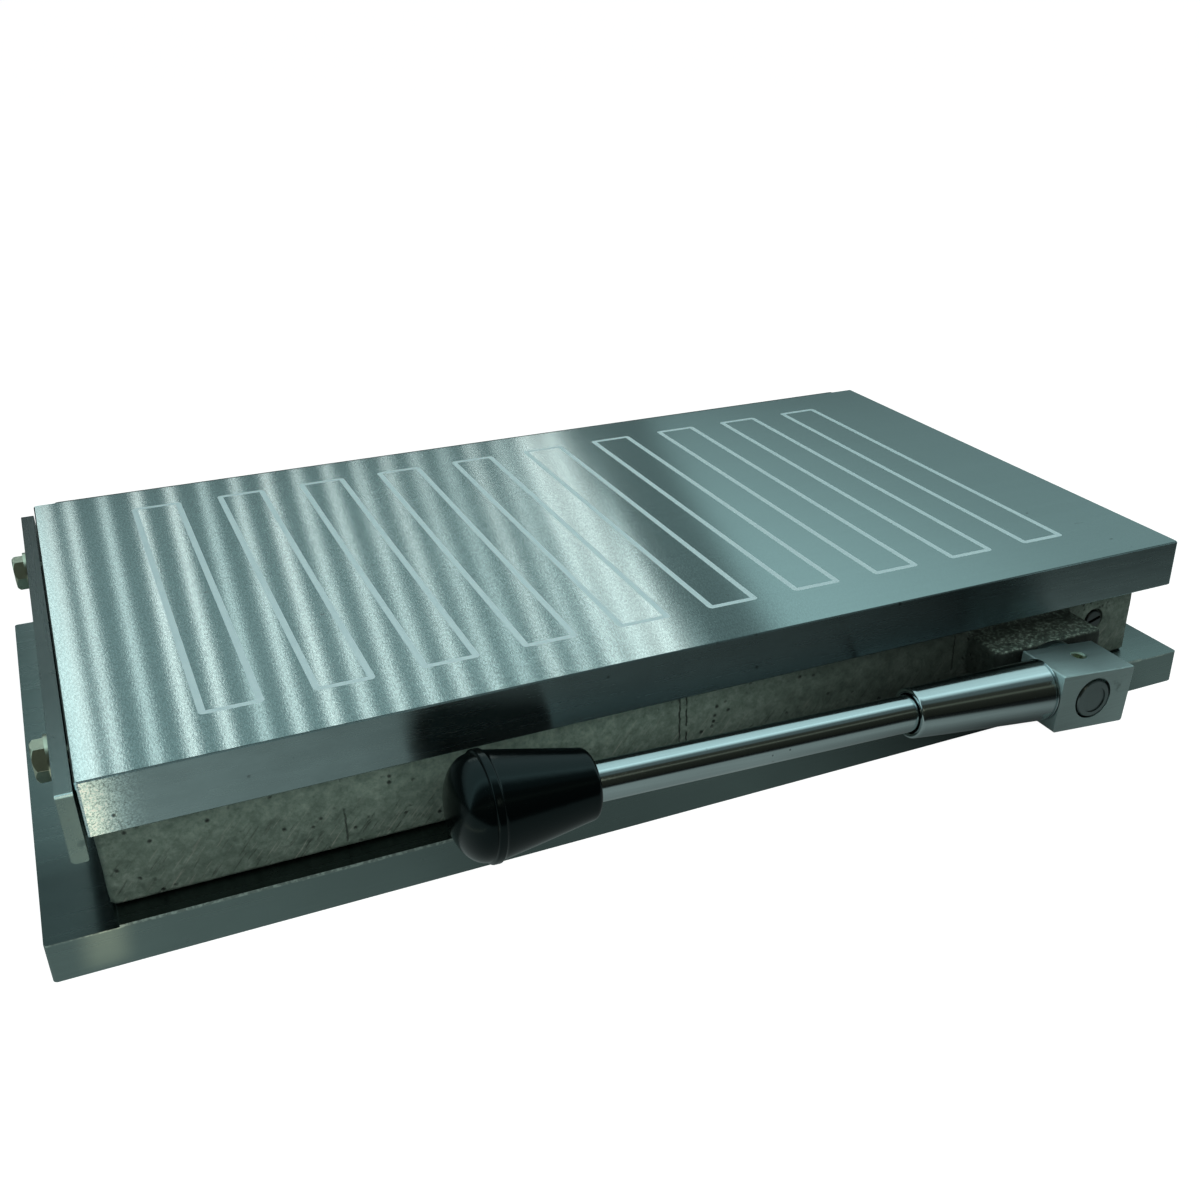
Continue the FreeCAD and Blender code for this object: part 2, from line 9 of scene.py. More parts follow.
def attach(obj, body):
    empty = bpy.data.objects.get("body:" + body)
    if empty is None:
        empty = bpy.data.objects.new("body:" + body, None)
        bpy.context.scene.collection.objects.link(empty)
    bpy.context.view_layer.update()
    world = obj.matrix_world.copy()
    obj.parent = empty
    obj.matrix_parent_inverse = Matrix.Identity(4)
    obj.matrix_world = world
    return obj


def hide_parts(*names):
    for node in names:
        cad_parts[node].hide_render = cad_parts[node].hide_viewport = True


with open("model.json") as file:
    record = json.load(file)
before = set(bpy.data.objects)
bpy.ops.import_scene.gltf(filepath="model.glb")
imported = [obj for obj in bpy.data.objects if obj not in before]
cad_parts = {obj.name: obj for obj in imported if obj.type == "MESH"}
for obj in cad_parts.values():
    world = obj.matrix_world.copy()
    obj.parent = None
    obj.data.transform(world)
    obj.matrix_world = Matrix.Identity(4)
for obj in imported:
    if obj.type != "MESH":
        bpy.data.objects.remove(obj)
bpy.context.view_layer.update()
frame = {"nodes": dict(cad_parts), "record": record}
NODES = frame["nodes"]
random.seed(7)
scene = bpy.context.scene
MM = 0.001

# ------------------------------------------------------------------ camera
CAM_POS = Vector((-0.13761807, -0.34876528, 0.19715142))
RIGHT = Vector((0.90223445, -0.43124512, -0.00080251))
DOWN = Vector((-0.20435016, -0.42589335, -0.88139427))
AHEAD = Vector((0.37975520, 0.79538827, -0.47238066))
cam_data = bpy.data.cameras.new("camera")
cam_data.sensor_fit = "HORIZONTAL"
cam_data.sensor_width = 36.0
cam_data.lens = 1305.1 / 1200.0 * 36.0
cam_data.shift_x = -(665.142 - 600.0) / 1200.0
cam_data.shift_y = (676.154 - 600.0) / 1200.0
cam_data.clip_start, cam_data.clip_end = 0.01, 200.0
cam = bpy.data.objects.new("camera", cam_data)
scene.collection.objects.link(cam)
cam.matrix_world = Matrix((
    (RIGHT.x, -DOWN.x, -AHEAD.x, CAM_POS.x),
    (RIGHT.y, -DOWN.y, -AHEAD.y, CAM_POS.y),
    (RIGHT.z, -DOWN.z, -AHEAD.z, CAM_POS.z),
    (0, 0, 0, 1)))
scene.camera = cam
scene.view_settings.view_transform = "Standard"
scene.view_settings.look = "None"


# ------------------------------------------------------------------ node helper
class Graph:
    """Short ways to make and join shader nodes."""

    def __init__(self, tree):
        self.t = tree
        for n in list(tree.nodes):
            tree.nodes.remove(n)

    def node(self, kind, **props):
        n = self.t.nodes.new(kind)
        for k, v in props.items():
            setattr(n, k, v)
        return n

    def put(self, socket, value):
        if isinstance(value, bpy.types.NodeSocket):
            self.t.links.new(value, socket)
        elif isinstance(value, (tuple, list)) and len(value) == 3 and socket.type == "RGBA":
            socket.default_value = (*value, 1.0)
        else:
            socket.default_value = value

    def math(self, op, a, b=None, c=None, clamp=False):
        n = self.node("ShaderNodeMath", operation=op, use_clamp=clamp)
        self.put(n.inputs[0], a)
        if b is not None:
            self.put(n.inputs[1], b)
        if c is not None:
            self.put(n.inputs[2], c)
        return n.outputs[0]

    def vmath(self, op, a, b=None, scale=None):
        n = self.node("ShaderNodeVectorMath", operation=op)
        self.put(n.inputs[0], a)
        if b is not None:
            self.put(n.inputs[1], b)
        if scale is not None:
            self.put(n.inputs[3], scale)
        return n.outputs[1] if op in ("DOT_PRODUCT", "LENGTH", "DISTANCE") else n.outputs[0]

    def sep(self, v):
        n = self.node("ShaderNodeSeparateXYZ")
        self.put(n.inputs[0], v)
        return n.outputs[0], n.outputs[1], n.outputs[2]

    def comb(self, x, y, z):
        n = self.node("ShaderNodeCombineXYZ")
        for s, v in zip(n.inputs, (x, y, z)):
            self.put(s, v)
        return n.outputs[0]

    def obj(self):
        return self.node("ShaderNodeTexCoord").outputs["Object"]

    def scaled(self, v, s, loc=(0, 0, 0), rot=(0, 0, 0)):
        n = self.node("ShaderNodeMapping")
        self.put(n.inputs["Vector"], v)
        n.inputs["Location"].default_value = loc
        n.inputs["Rotation"].default_value = rot
        n.inputs["Scale"].default_value = s
        return n.outputs[0]

    def noise(self, v, scale=1.0, detail=2.0, rough=0.5, distortion=0.0, colour=False):
        n = self.node("ShaderNodeTexNoise")
        self.put(n.inputs["Vector"], v)
        n.inputs["Scale"].default_value = scale
        n.inputs["Detail"].default_value = detail
        n.inputs["Roughness"].default_value = rough
        n.inputs["Distortion"].default_value = distortion
        return n.outputs["Color"] if colour else n.outputs["Fac"]

    def voronoi(self, v, scale=1.0, feature="F1", randomness=1.0):
        n = self.node("ShaderNodeTexVoronoi", feature=feature)
        self.put(n.inputs["Vector"], v)
        n.inputs["Scale"].default_value = scale
        n.inputs["Randomness"].default_value = randomness
        return n.outputs["Distance"]

    def step(self, x, lo, hi, a=0.0, b=1.0):
        """Smooth step from a at lo to b at hi."""
        n = self.node("ShaderNodeMapRange", interpolation_type="SMOOTHSTEP")
        self.put(n.inputs[0], x)
        for s, v in zip(n.inputs[1:5], (lo, hi, a, b)):
            self.put(s, v)
        return n.outputs[0]

    def lin(self, x, lo, hi, a=0.0, b=1.0):
        n = self.node("ShaderNodeMapRange", clamp=True)
        self.put(n.inputs[0], x)
        for s, v in zip(n.inputs[1:5], (lo, hi, a, b)):
            self.put(s, v)
        return n.outputs[0]

    def ramp(self, x, stops, interp="LINEAR"):
        n = self.node("ShaderNodeValToRGB")
        self.put(n.inputs[0], x)
        cr = n.color_ramp
        cr.interpolation = interp
        while len(cr.elements) < len(stops):
            cr.elements.new(0.5)
        for e, (p, c) in zip(cr.elements, stops):
            e.position = p
            e.color = (*c, 1.0) if isinstance(c, (tuple, list)) else (c, c, c, 1.0)
        return n.outputs[0]

    def mix(self, f, a, b, mode="MIX"):
        n = self.node("ShaderNodeMix", data_type="RGBA", blend_type=mode)
        n.clamp_factor = True
        self.put(n.inputs[0], f)
        self.put(n.inputs[6], a)
        self.put(n.inputs[7], b)
        return n.outputs[2]

    def fmix(self, f, a, b):
        n = self.node("ShaderNodeMix", data_type="FLOAT")
        self.put(n.inputs[0], f)
        self.put(n.inputs[2], a)
        self.put(n.inputs[3], b)
        return n.outputs[0]

    def bump(self, height, strength=0.5, distance=0.0001, normal=None):
        n = self.node("ShaderNodeBump")
        self.put(n.inputs["Height"], height)
        n.inputs["Strength"].default_value = strength
        n.inputs["Distance"].default_value = distance
        if normal is not None:
            self.put(n.inputs["Normal"], normal)
        return n.outputs[0]


class Mat(Graph):
    def __init__(self, name):
        self.m = bpy.data.materials.new(name)
        self.m.use_nodes = True
        super().__init__(self.m.node_tree)
        self.out = self.node("ShaderNodeOutputMaterial")
        self.p = self.node("ShaderNodeBsdfPrincipled")
        self.t.links.new(self.p.outputs[0], self.out.inputs[0])

    def set(self, **kw):
        for k, v in kw.items():
            self.put(self.p.inputs[k.replace("_", " ")], v)
        return self.m


STEEL = (0.43, 0.535, 0.54)
# painted shade and painted reflections on the plate's front side along x (mm), brightest at its left end where a glint
# is painted
FRONT_SHADE_AND_GLINT = [(-150, 1.9), (-138, 0.95), (-75, 0.75), (-41, 0.4), (45, 0.33), (74, 0.2), (88, 0.35), (104, 1.0), (150, 0.85)]


def across(g, along):
    """Unit vector in the surface, at right angles to the grain direction."""
    n = g.node("ShaderNodeNewGeometry").outputs["Normal"]
    v = g.vmath("CROSS_PRODUCT", along, n)
    return g.vmath("NORMALIZE", v)


def ground_steel():
    """Ground work face with fine lengthwise lines and a sparkling grain; the sides are duller."""
    g = Mat("ground_steel")
    o = g.obj()
    x, y, z = g.sep(o)
    fine = g.noise(g.scaled(o, (420, 3400, 3400)), 1.0, 3.0, 0.6)
    lines = g.noise(g.scaled(o, (14, 2600, 2600)), 1.0, 2.0, 0.6)
    wide = g.noise(g.scaled(o, (5, 260, 260)), 1.0, 2.0, 0.5)
    cloud = g.noise(o, 22.0, 4.0, 0.55)
    # sparkling grain, drawn out along lines that fan from the front
    fan = g.math("ADD", g.math("MULTIPLY", y, 1.68), 1.0)
    s = g.math("DIVIDE", g.math("ADD", x, 0.143), fan)
    grain = g.noise(g.comb(g.math("MULTIPLY", s, 2100.0), g.math("MULTIPLY", y, 620.0), g.math("MULTIPLY", z, 620.0)), 1.0, 2.0, 0.65)
    side = g.step(y, -0.09370, -0.09385)
    tone = g.math("ADD", g.math("MULTIPLY", lines, 0.10), g.math("MULTIPLY", wide, 0.05))
    tone = g.math("ADD", tone, g.math("MULTIPLY", cloud, 0.09))
    tone = g.math("ADD", tone, 0.80)
    # grain in the colour, strongest at the left of the face where the light streaks fall: the steel's grain plus
    # painted sparkle
    grain_and_sparkle = g.noise(g.comb(g.math("MULTIPLY", s, 2500.0), g.math("MULTIPLY", y, 800.0), g.math("MULTIPLY", z, 600.0)), 1.0, 2.0, 0.7)
    grain_and_sparkle = g.math("MULTIPLY", g.math("SUBTRACT", g.step(grain_and_sparkle, 0.32, 0.68), 0.5), g.lin(x, 0.005, 0.035, 0.30, 0.05))
    tone = g.math("MULTIPLY", tone, g.math("ADD", 1.03, grain_and_sparkle))
    # the side toward the front: dull and scratched along its length, with painted shade and painted reflections along x
    # and a sparkling painted glint at its left end
    scr = g.noise(g.scaled(o, (45, 900, 1500)), 1.0, 4.0, 0.7)
    patch = g.noise(g.scaled(o, (60, 60, 160)), 1.0, 4.0, 0.65)
    # painted shade and painted reflections along the front side
    front_shade = g.ramp(g.lin(x, -0.150, 0.150), [((a + 150) / 300.0, v) for a, v in FRONT_SHADE_AND_GLINT])
    front_shade = g.math("MULTIPLY", front_shade, g.math("ADD", 0.66, g.math("ADD", g.math("MULTIPLY", scr, 0.26), g.math("MULTIPLY", patch, 0.42))))
    # painted glint: speckled brightening of the left end of the front side
    painted_glint = g.noise(g.scaled(o, (2600, 2600, 2600)), 1.0, 2.0, 0.7)
    painted_glint = g.math("MULTIPLY", g.math("SUBTRACT", painted_glint, 0.5), g.step(x, -0.134, -0.146))
    front_shade = g.math("MULTIPLY", front_shade, g.math("ADD", 1.0, g.math("MULTIPLY", painted_glint, 3.2)))
    tone = g.fmix(side, tone, g.math("MAXIMUM", front_shade, 0.02))
    base = g.mix(1.0, STEEL, g.comb(tone, tone, tone), "MULTIPLY")
    # dark stains gathered on the front right of the face, a few elsewhere
    spot = g.noise(g.scaled(o, (260, 420, 300), rot=(0, 0, 0.5)), 1.0, 3.0, 0.7)
    near = g.vmath("DISTANCE", g.scaled(o, (1, 1.7, 0)), (0.118, -0.118, 0))
    region = g.step(near, 0.05, 0.0)
    region = g.math("MULTIPLY", region, g.noise(o, 60.0, 2.0, 0.5))
    mask = g.math("MULTIPLY", g.step(spot, 0.66, 0.74), g.step(region, 0.30, 0.46))
    lone = g.step(g.voronoi(g.scaled(o, (1, 1.6, 1), rot=(0, 0, 0.35)), 46.0), 0.040, 0.015)
    lone = g.math("MULTIPLY", lone, g.step(g.noise(o, 19.0, 1.0, 0.5), 0.53, 0.58))
    mask = g.math("MAXIMUM", mask, g.math("MULTIPLY", lone, 0.8))
    base = g.mix(g.math("MULTIPLY", mask, 0.85), base, (0.03, 0.036, 0.034))
    # small dark pits on the side
    pit = g.math("MULTIPLY", g.step(g.voronoi(o, 210.0), 0.13, 0.05), g.step(g.noise(o, 70.0, 1.0, 0.5), 0.55, 0.62))
    base = g.mix(g.math("MULTIPLY", g.math("MULTIPLY", pit, side), 0.8), base, (0.012, 0.016, 0.016))
    rough = g.math("ADD", 0.060, g.math("MULTIPLY", lines, 0.04))
    rough = g.math("ADD", rough, g.math("MULTIPLY", mask, 0.3))
    rough = g.fmix(side, rough, g.math("ADD", 0.20, g.math("MULTIPLY", scr, 0.12)))
    flat = g.math("SUBTRACT", 1.0, side)
    h = g.math("ADD", g.math("MULTIPLY", fine, 0.75), g.math("MULTIPLY", lines, 0.5))
    nb = g.bump(h, 0.16, 0.00004)
    nb = g.bump(g.math("MULTIPLY", grain, flat), 0.06, 0.00004, normal=nb)
    nb = g.bump(g.math("MULTIPLY", g.math("SUBTRACT", scr, g.math("MULTIPLY", pit, 0.8)), side), 0.13, 0.00006, normal=nb)
    return g.set(Base_Color=base, Metallic=1.0, Roughness=rough, Anisotropic=0.92,
                 Tangent=across(g, (1.0, 0.004, 0.0)), Normal=nb)


def machined(name, colour, rough0, grain, edge_z=None, spot_amount=0.5, aniso=0.75, bump=0.3, tones=None):
    """Milled or shaped steel with grain along one direction, dark pits and small marks."""
    g = Mat(name)
    o = g.obj()
    x, y, z = g.sep(o)
    sc = [3000 if abs(c) < 0.5 else 60 for c in grain]
    sw = [420 if abs(c) < 0.5 else 9 for c in grain]
    lines = g.noise(g.scaled(o, tuple(sc)), 1.0, 3.0, 0.65)
    wide = g.noise(g.scaled(o, tuple(sw)), 1.0, 3.0, 0.55)
    cloud = g.noise(o, 34.0, 5.0, 0.6)
    tone = g.math("ADD", g.math("MULTIPLY", lines, 0.22), g.math("MULTIPLY", wide, 0.16))
    tone = g.math("ADD", tone, g.math("MULTIPLY", cloud, 0.22))
    tone = g.math("ADD", tone, 0.70)
    base = g.mix(1.0, colour, g.comb(tone, tone, tone), "MULTIPLY")
    pit = g.step(g.voronoi(o, 95.0), 0.075, 0.03)
    pit = g.math("MULTIPLY", pit, g.step(g.noise(o, 31.0, 1.0, 0.5), 0.57, 0.62))
    stain = g.step(g.noise(o, 75.0, 4.0, 0.7), 0.66, 0.78)
    base = g.mix(g.math("MULTIPLY", pit, 0.9), base, (0.012, 0.016, 0.016))
    base = g.mix(g.math("MULTIPLY", stain, spot_amount), base, (0.07, 0.075, 0.065))
    # painted light and shade given by the part's tones function
    if tones is not None:
        t = tones(g, x, y, z)
        base = g.mix(1.0, base, g.comb(t, t, t), "MULTIPLY")
    rough = g.math("ADD", rough0, g.math("MULTIPLY", wide, 0.12))
    rough = g.math("ADD", rough, g.math("MULTIPLY", stain, 0.15))
    # painted highlight: a lighter line along the top edge, broken by nicks, with a speckled glint
    if edge_z is not None:
        nick = g.noise(g.scaled(o, (330, 60, 60)), 1.0, 2.0, 0.6)
        near = g.step(g.math("ADD", z, g.math("MULTIPLY", nick, 0.0006)), edge_z - 0.0001, edge_z + 0.0003)
        up = g.sep(g.node("ShaderNodeNewGeometry").outputs["Normal"])[2]
        near = g.math("MULTIPLY", near, g.step(up, 0.96, 0.80))
        glint = g.step(g.noise(g.scaled(o, (900, 900, 900)), 1.0, 2.0, 0.6), 0.42, 0.62)
        base = g.mix(g.math("MULTIPLY", near, g.math("ADD", 0.25, g.math("MULTIPLY", glint, 0.35))), base, (0.62, 0.70, 0.64))
    h = g.math("SUBTRACT", g.math("ADD", lines, g.math("MULTIPLY", wide, 0.7)), g.math("MULTIPLY", pit, 1.2))
    nb = g.bump(h, bump, 0.00006)
    return g.set(Base_Color=base, Metallic=1.0, Roughness=rough, Anisotropic=aniso,
                 Tangent=across(g, grain), Normal=nb)


def flange_painted_shade(g, x, y, z):
    """The two ledges of the base get painted shade and painted reflections: darker and lighter bands along their depth,
    different on the left and right ledge.
    """
    top = g.step(z, 0.0103, 0.0106)
    left = g.ramp(g.lin(y, -0.090, 0.090), [((a + 90) / 180.0, v) for a, v in (
        (-64, 0.45), (-46, 0.85), (-12, 1.1), (90, 0.88))])
    right = g.ramp(g.lin(y, -0.090, 0.090), [((a + 90) / 180.0, v) for a, v in (
        (-90, 1.2), (-62, 0.6), (90, 1.0))])
    t = g.fmix(g.step(x, -0.01, 0.01), left, right)
    return g.fmix(top, 1.0, t)


def stop_tone_and_highlight(g, x, y, z):
    """Slightly darker toward the back, with a painted highlight along the front top corner."""
    t = g.ramp(g.lin(y, -0.094, 0.080), [((a + 94) / 174.0, v) for a, v in (
        (-94, 0.7), (-48, 0.4), (78, 0.26))])
    edge_highlight = g.math("MULTIPLY", g.step(y, -0.0931, -0.0938), g.step(z, 0.0490, 0.0495))
    return g.math("ADD", t, g.math("MULTIPLY", edge_highlight, 2.4))


def hub_painted_shade(g, x, y, z):
    """Painted shade and light on the hub: its top in the shade of the plate at its back, lighter toward the front; the
    front painted lighter at its upper right.
    """
    up = g.sep(g.node("ShaderNodeNewGeometry").outputs["Normal"])[2]
    top = g.math("MULTIPLY", g.lin(y, -0.1165, -0.0990, 0.74, 0.36), g.lin(x, 0.0950, 0.1060, 1.42, 1.0))
    front = g.math("ADD", g.lin(x, 0.095, 0.115, 0.88, 1.05), g.lin(z, 0.014, 0.032, 0.0, 0.22))
    return g.fmix(g.step(up, 0.6, 0.9), front, top)


def rough_casting():
    """Painted casting: orange peel, dark pin holes, short slanting scratches low on the front, hairline joints."""
    g = Mat("rough_casting")
    o = g.obj()
    x, y, z = g.sep(o)
    grain = g.noise(o, 1150.0, 4.0, 0.7)
    peel = g.noise(o, 420.0, 3.0, 0.55)
    mid = g.noise(o, 170.0, 4.0, 0.6)
    cloud = g.noise(o, 38.0, 4.0, 0.6)
    # slanting scratches, rising to the right
    lift = g.noise(g.scaled(o, (70, 70, 70)), 1.0, 2.0, 0.5)
    turned = g.scaled(o, (1, 1, 1), rot=(0, math.radians(50), 0))
    scr = g.noise(g.scaled(turned, (120, 40, 1500)), 1.0, 2.0, 0.55)
    scr2 = g.noise(g.scaled(turned, (210, 60, 2600), loc=(3, 0, 7)), 1.0, 1.0, 0.5)
    low = g.step(g.math("ADD", z, g.math("MULTIPLY", lift, 0.012)), 0.035, 0.022)
    bright = g.math("MAXIMUM", g.step(scr, 0.60, 0.72), g.math("MULTIPLY", g.step(scr2, 0.64, 0.76), 0.8))
    bright = g.math("MULTIPLY", bright, g.math("ADD", 0.07, g.math("MULTIPLY", low, 0.60)))
    dark = g.math("MULTIPLY", g.step(scr, 0.40, 0.28), low)
    pits = g.voronoi(o, 330.0)
    pit = g.step(pits, 0.24, 0.05)
    pit = g.math("MULTIPLY", pit, g.step(g.noise(o, 120.0, 2.0, 0.6), 0.50, 0.58))
    big = g.step(g.voronoi(g.scaled(o, (1, 1, 1.3)), 120.0), 0.13, 0.05)
    big = g.math("MULTIPLY", big, g.step(g.noise(o, 44.0, 1.0, 0.5), 0.52, 0.58))
    # a cluster of holes high at the right end
    cl = g.vmath("DISTANCE", g.scaled(o, (1, 0, 1.3)), (0.1335, 0, 0.0455))
    clus = g.math("MULTIPLY", g.step(g.voronoi(o, 560.0), 0.36, 0.2), g.step(cl, 0.013, 0.006))
    # hairline joints of the mould
    wob = g.math("MULTIPLY", g.math("SUBTRACT", g.noise(g.scaled(o, (0, 0, 260)), 1.0, 3.0, 0.6), 0.5), 0.0016)
    crack = None
    for cx in CRACKS:
        d = g.math("ABSOLUTE", g.math("ADD", g.math("SUBTRACT", x, cx), wob))
        c = g.step(d, 0.00030, 0.00008)
        if cx < -0.05:
            c = g.math("MULTIPLY", c, g.step(g.math("ABSOLUTE", g.math("SUBTRACT", z, 0.0265)), 0.0035, 0.0045))
            c = g.math("MULTIPLY", c, 0.7)
        crack = c if crack is None else g.math("MAXIMUM", crack, c)
    broken = g.step(g.noise(g.scaled(o, (150, 150, 240)), 1.0, 2.0, 0.5), 0.40, 0.50)
    crack = g.math("MULTIPLY", g.math("MULTIPLY", crack, broken), g.step(y, -0.0785, -0.0795))
    tone = g.math("ADD", g.math("MULTIPLY", peel, 0.5), g.math("MULTIPLY", grain, 0.4))
    tone = g.math("ADD", tone, g.math("MULTIPLY", mid, 0.25))
    col = g.ramp(g.math("ADD", tone, g.math("MULTIPLY", g.math("SUBTRACT", cloud, 0.5), 0.3)),
                 [(0.36, (0.105, 0.156, 0.128)), (0.56, (0.210, 0.290, 0.243)), (0.76, (0.35, 0.45, 0.39))])
    col = g.mix(g.math("MULTIPLY", dark, 0.5), col, (0.09, 0.108, 0.088))
    col = g.mix(g.math("MULTIPLY", bright, 0.75), col, (0.52, 0.56, 0.49))
    # painted shade under the lever and round its bearing, darker low on the front
    painted_light_and_shade = g.ramp(g.lin(x, -0.150, 0.150), [((a + 150) / 300.0, v) for a, v in BODY_PAINTED_SHADE])
    painted_light_and_shade = g.math("MULTIPLY", painted_light_and_shade, g.math("ADD", 0.85, g.math("MULTIPLY", cloud, 0.3)))
    painted_light_and_shade = g.math("MULTIPLY", painted_light_and_shade, g.lin(z, 0.015, 0.029, 0.70, 1.0))
    painted_light_and_shade = g.fmix(g.step(y, -0.0765, -0.0790), 1.0, painted_light_and_shade)
    # the upper side of the bearing boss: painted light, speckled, fading to painted shade toward the back under the
    # plate
    up = g.sep(g.node("ShaderNodeNewGeometry").outputs["Normal"])[2]
    ledge = g.math("MULTIPLY", g.step(up, 0.30, 0.75), g.step(g.math("ABSOLUTE", g.math("SUBTRACT", y, -0.0895)), 0.0078, 0.0070))
    speck = g.noise(o, 900.0, 3.0, 0.7)
    lit = g.math("MULTIPLY", g.math("ADD", 0.26, g.math("MULTIPLY", g.step(speck, 0.46, 0.68), 0.9)), g.lin(y, -0.0955, -0.0840, 1.0, 0.40))
    painted_light_and_shade = g.fmix(ledge, painted_light_and_shade, lit)
    # painted shade on the front of the boss, in the gap beside the hub
    face = g.math("MULTIPLY", g.step(y, -0.0945, -0.0960), g.step(up, 0.75, 0.30))
    painted_light_and_shade = g.math("MULTIPLY", painted_light_and_shade, g.fmix(face, 1.0, 0.28))
    col = g.mix(1.0, col, g.comb(painted_light_and_shade, painted_light_and_shade, painted_light_and_shade), "MULTIPLY")
    hole = g.math("MAXIMUM", g.math("MAXIMUM", g.math("MAXIMUM", pit, big), clus), crack)
    col = g.mix(g.math("MULTIPLY", hole, 0.9), col, (0.014, 0.019, 0.016))
    h = g.math("ADD", g.math("MULTIPLY", grain, 0.35), g.math("MULTIPLY", peel, 1.1))
    h = g.math("ADD", h, g.math("MULTIPLY", mid, 0.8))
    h = g.math("SUBTRACT", h, g.math("MULTIPLY", hole, 1.5))
    h = g.math("SUBTRACT", h, g.math("MULTIPLY", dark, 0.5))
    nb = g.bump(h, 0.8, 0.0004)
    rough = g.math("ADD", 0.50, g.math("MULTIPLY", mid, 0.25))
    return g.set(Base_Color=col, Metallic=0.10, Roughness=rough, Specular_IOR_Level=0.45, Normal=nb)


def white_strip():
    g = Mat("white_metal_strip")
    o = g.obj()
    lines = g.noise(g.scaled(o, (60, 2400, 2400)), 1.0, 3.0, 0.6)
    cloud = g.noise(o, 120.0, 3.0, 0.6)
    t = g.math("ADD", g.math("MULTIPLY", lines, 0.25), g.math("MULTIPLY", cloud, 0.25))
    col = g.ramp(t, [(0.1, (0.76, 0.89, 0.92)), (0.4, (0.90, 1.0, 1.0))])
    nb = g.bump(lines, 0.20, 0.00004)
    return g.set(Base_Color=col, Metallic=0.66, Roughness=g.math("ADD", 0.44, g.math("MULTIPLY", lines, 0.10)), Normal=nb)


def turned_steel(name, axis, colour=(0.56, 0.64, 0.65), rough0=0.13):
    """Drawn and polished bar, with fine rings and long faint drawing lines."""
    g = Mat(name)
    o = g.obj()
    d = Vector(axis).normalized()
    rel = g.vmath("SUBTRACT", o, (0.1042, -0.1076, 0.0223))
    t = g.vmath("DOT_PRODUCT", rel, tuple(d))
    rings = g.noise(g.comb(g.math("MULTIPLY", t, 2600), 0.0, 0.0), 1.0, 3.0, 0.7)
    side = g.vmath("SUBTRACT", rel, g.vmath("SCALE", tuple(d), scale=t))
    longs = g.noise(g.vmath("ADD", g.vmath("SCALE", side, scale=1500.0), g.vmath("SCALE", tuple(d), scale=g.math("MULTIPLY", t, 26.0))), 1.0, 3.0, 0.6)
    cloud = g.noise(o, 60.0, 4.0, 0.6)
    tone = g.math("ADD", g.math("MULTIPLY", rings, 0.14), g.math("MULTIPLY", longs, 0.16))
    tone = g.math("ADD", tone, g.math("MULTIPLY", cloud, 0.12))
    tone = g.math("ADD", tone, 0.78)
    base = g.mix(1.0, colour, g.comb(tone, tone, tone), "MULTIPLY")
    speck = g.math("MULTIPLY", g.step(g.voronoi(o, 260.0), 0.10, 0.04), g.step(g.noise(o, 80.0, 1.0, 0.5), 0.58, 0.64))
    base = g.mix(g.math("MULTIPLY", speck, 0.6), base, (0.05, 0.05, 0.045))
    rough = g.math("ADD", rough0, g.math("MULTIPLY", cloud, 0.06))
    nb = g.bump(g.math("ADD", rings, g.math("MULTIPLY", longs, 0.8)), 0.16, 0.00003)
    tang = g.node("ShaderNodeVectorTransform", vector_type="VECTOR", convert_from="OBJECT", convert_to="WORLD")
    tang.inputs[0].default_value = tuple(d)
    return g.set(Base_Color=base, Metallic=1.0, Roughness=rough, Anisotropic=0.5, Tangent=tang.outputs[0], Normal=nb)


def gloss_black():
    g = Mat("gloss_black")
    o = g.obj()
    cloud = g.noise(o, 70.0, 4.0, 0.6)
    dust = g.step(g.noise(o, 1500.0, 3.0, 0.7), 0.66, 0.80)
    scuff = g.noise(g.scaled(o, (300, 300, 1200)), 1.0, 3.0, 0.6)
    col = g.mix(g.math("MULTIPLY", dust, 0.05), (0.0008, 0.0016, 0.0018), (0.05, 0.06, 0.06))
    rough = g.math("ADD", g.math("MULTIPLY", cloud, 0.10), 0.12)
    rough = g.math("ADD", rough, g.math("MULTIPLY", g.step(scuff, 0.62, 0.72), 0.05))
    peel = g.noise(o, 420.0, 2.0, 0.5)
    nb = g.bump(peel, 0.10, 0.0002)
    return g.set(Base_Color=col, Metallic=0.0, Roughness=rough, IOR=1.5, Specular_IOR_Level=0.24, Specular_Tint=(0.70, 0.98, 1.0, 1.0),
                 Coat_Weight=0.04, Coat_Roughness=0.20, Normal=nb)


def plain_metal(name, colour, rough0, tone_amt=0.25, scale=400.0, metallic=1.0, bump=0.25, dark=(0.02, 0.022, 0.02)):
    g = Mat(name)
    o = g.obj()
    fine = g.noise(o, scale, 4.0, 0.6)
    cloud = g.noise(o, scale * 0.12, 3.0, 0.6)
    tone = g.math("ADD", g.math("MULTIPLY", fine, tone_amt), g.math("MULTIPLY", cloud, tone_amt))
    tone = g.math("ADD", tone, 1.0 - tone_amt)
    base = g.mix(1.0, colour, g.comb(tone, tone, tone), "MULTIPLY")
    grime = g.step(g.noise(o, scale * 0.3, 5.0, 0.7), 0.60, 0.74)
    base = g.mix(g.math("MULTIPLY", grime, 0.5), base, dark)
    rough = g.math("ADD", rough0, g.math("MULTIPLY", fine, 0.15))
    return g.set(Base_Color=base, Metallic=metallic, Roughness=rough, Normal=g.bump(fine, bump, 0.00008))


CRACKS = (-0.0060, -0.0040, 0.0820, -0.0950)
# painted shade on the casting's front along x (mm)
BODY_PAINTED_SHADE = [(-150, 0.95), (-40, 1.15), (10, 0.7), (60, 0.25), (118, 0.12), (130, 0.6)]


def lever_dir(tilt, yaw=0.7):
    a, b = math.radians(tilt), math.radians(yaw)
    return Vector((-math.cos(a) * math.cos(b), -math.sin(b), math.sin(a) * math.cos(b)))


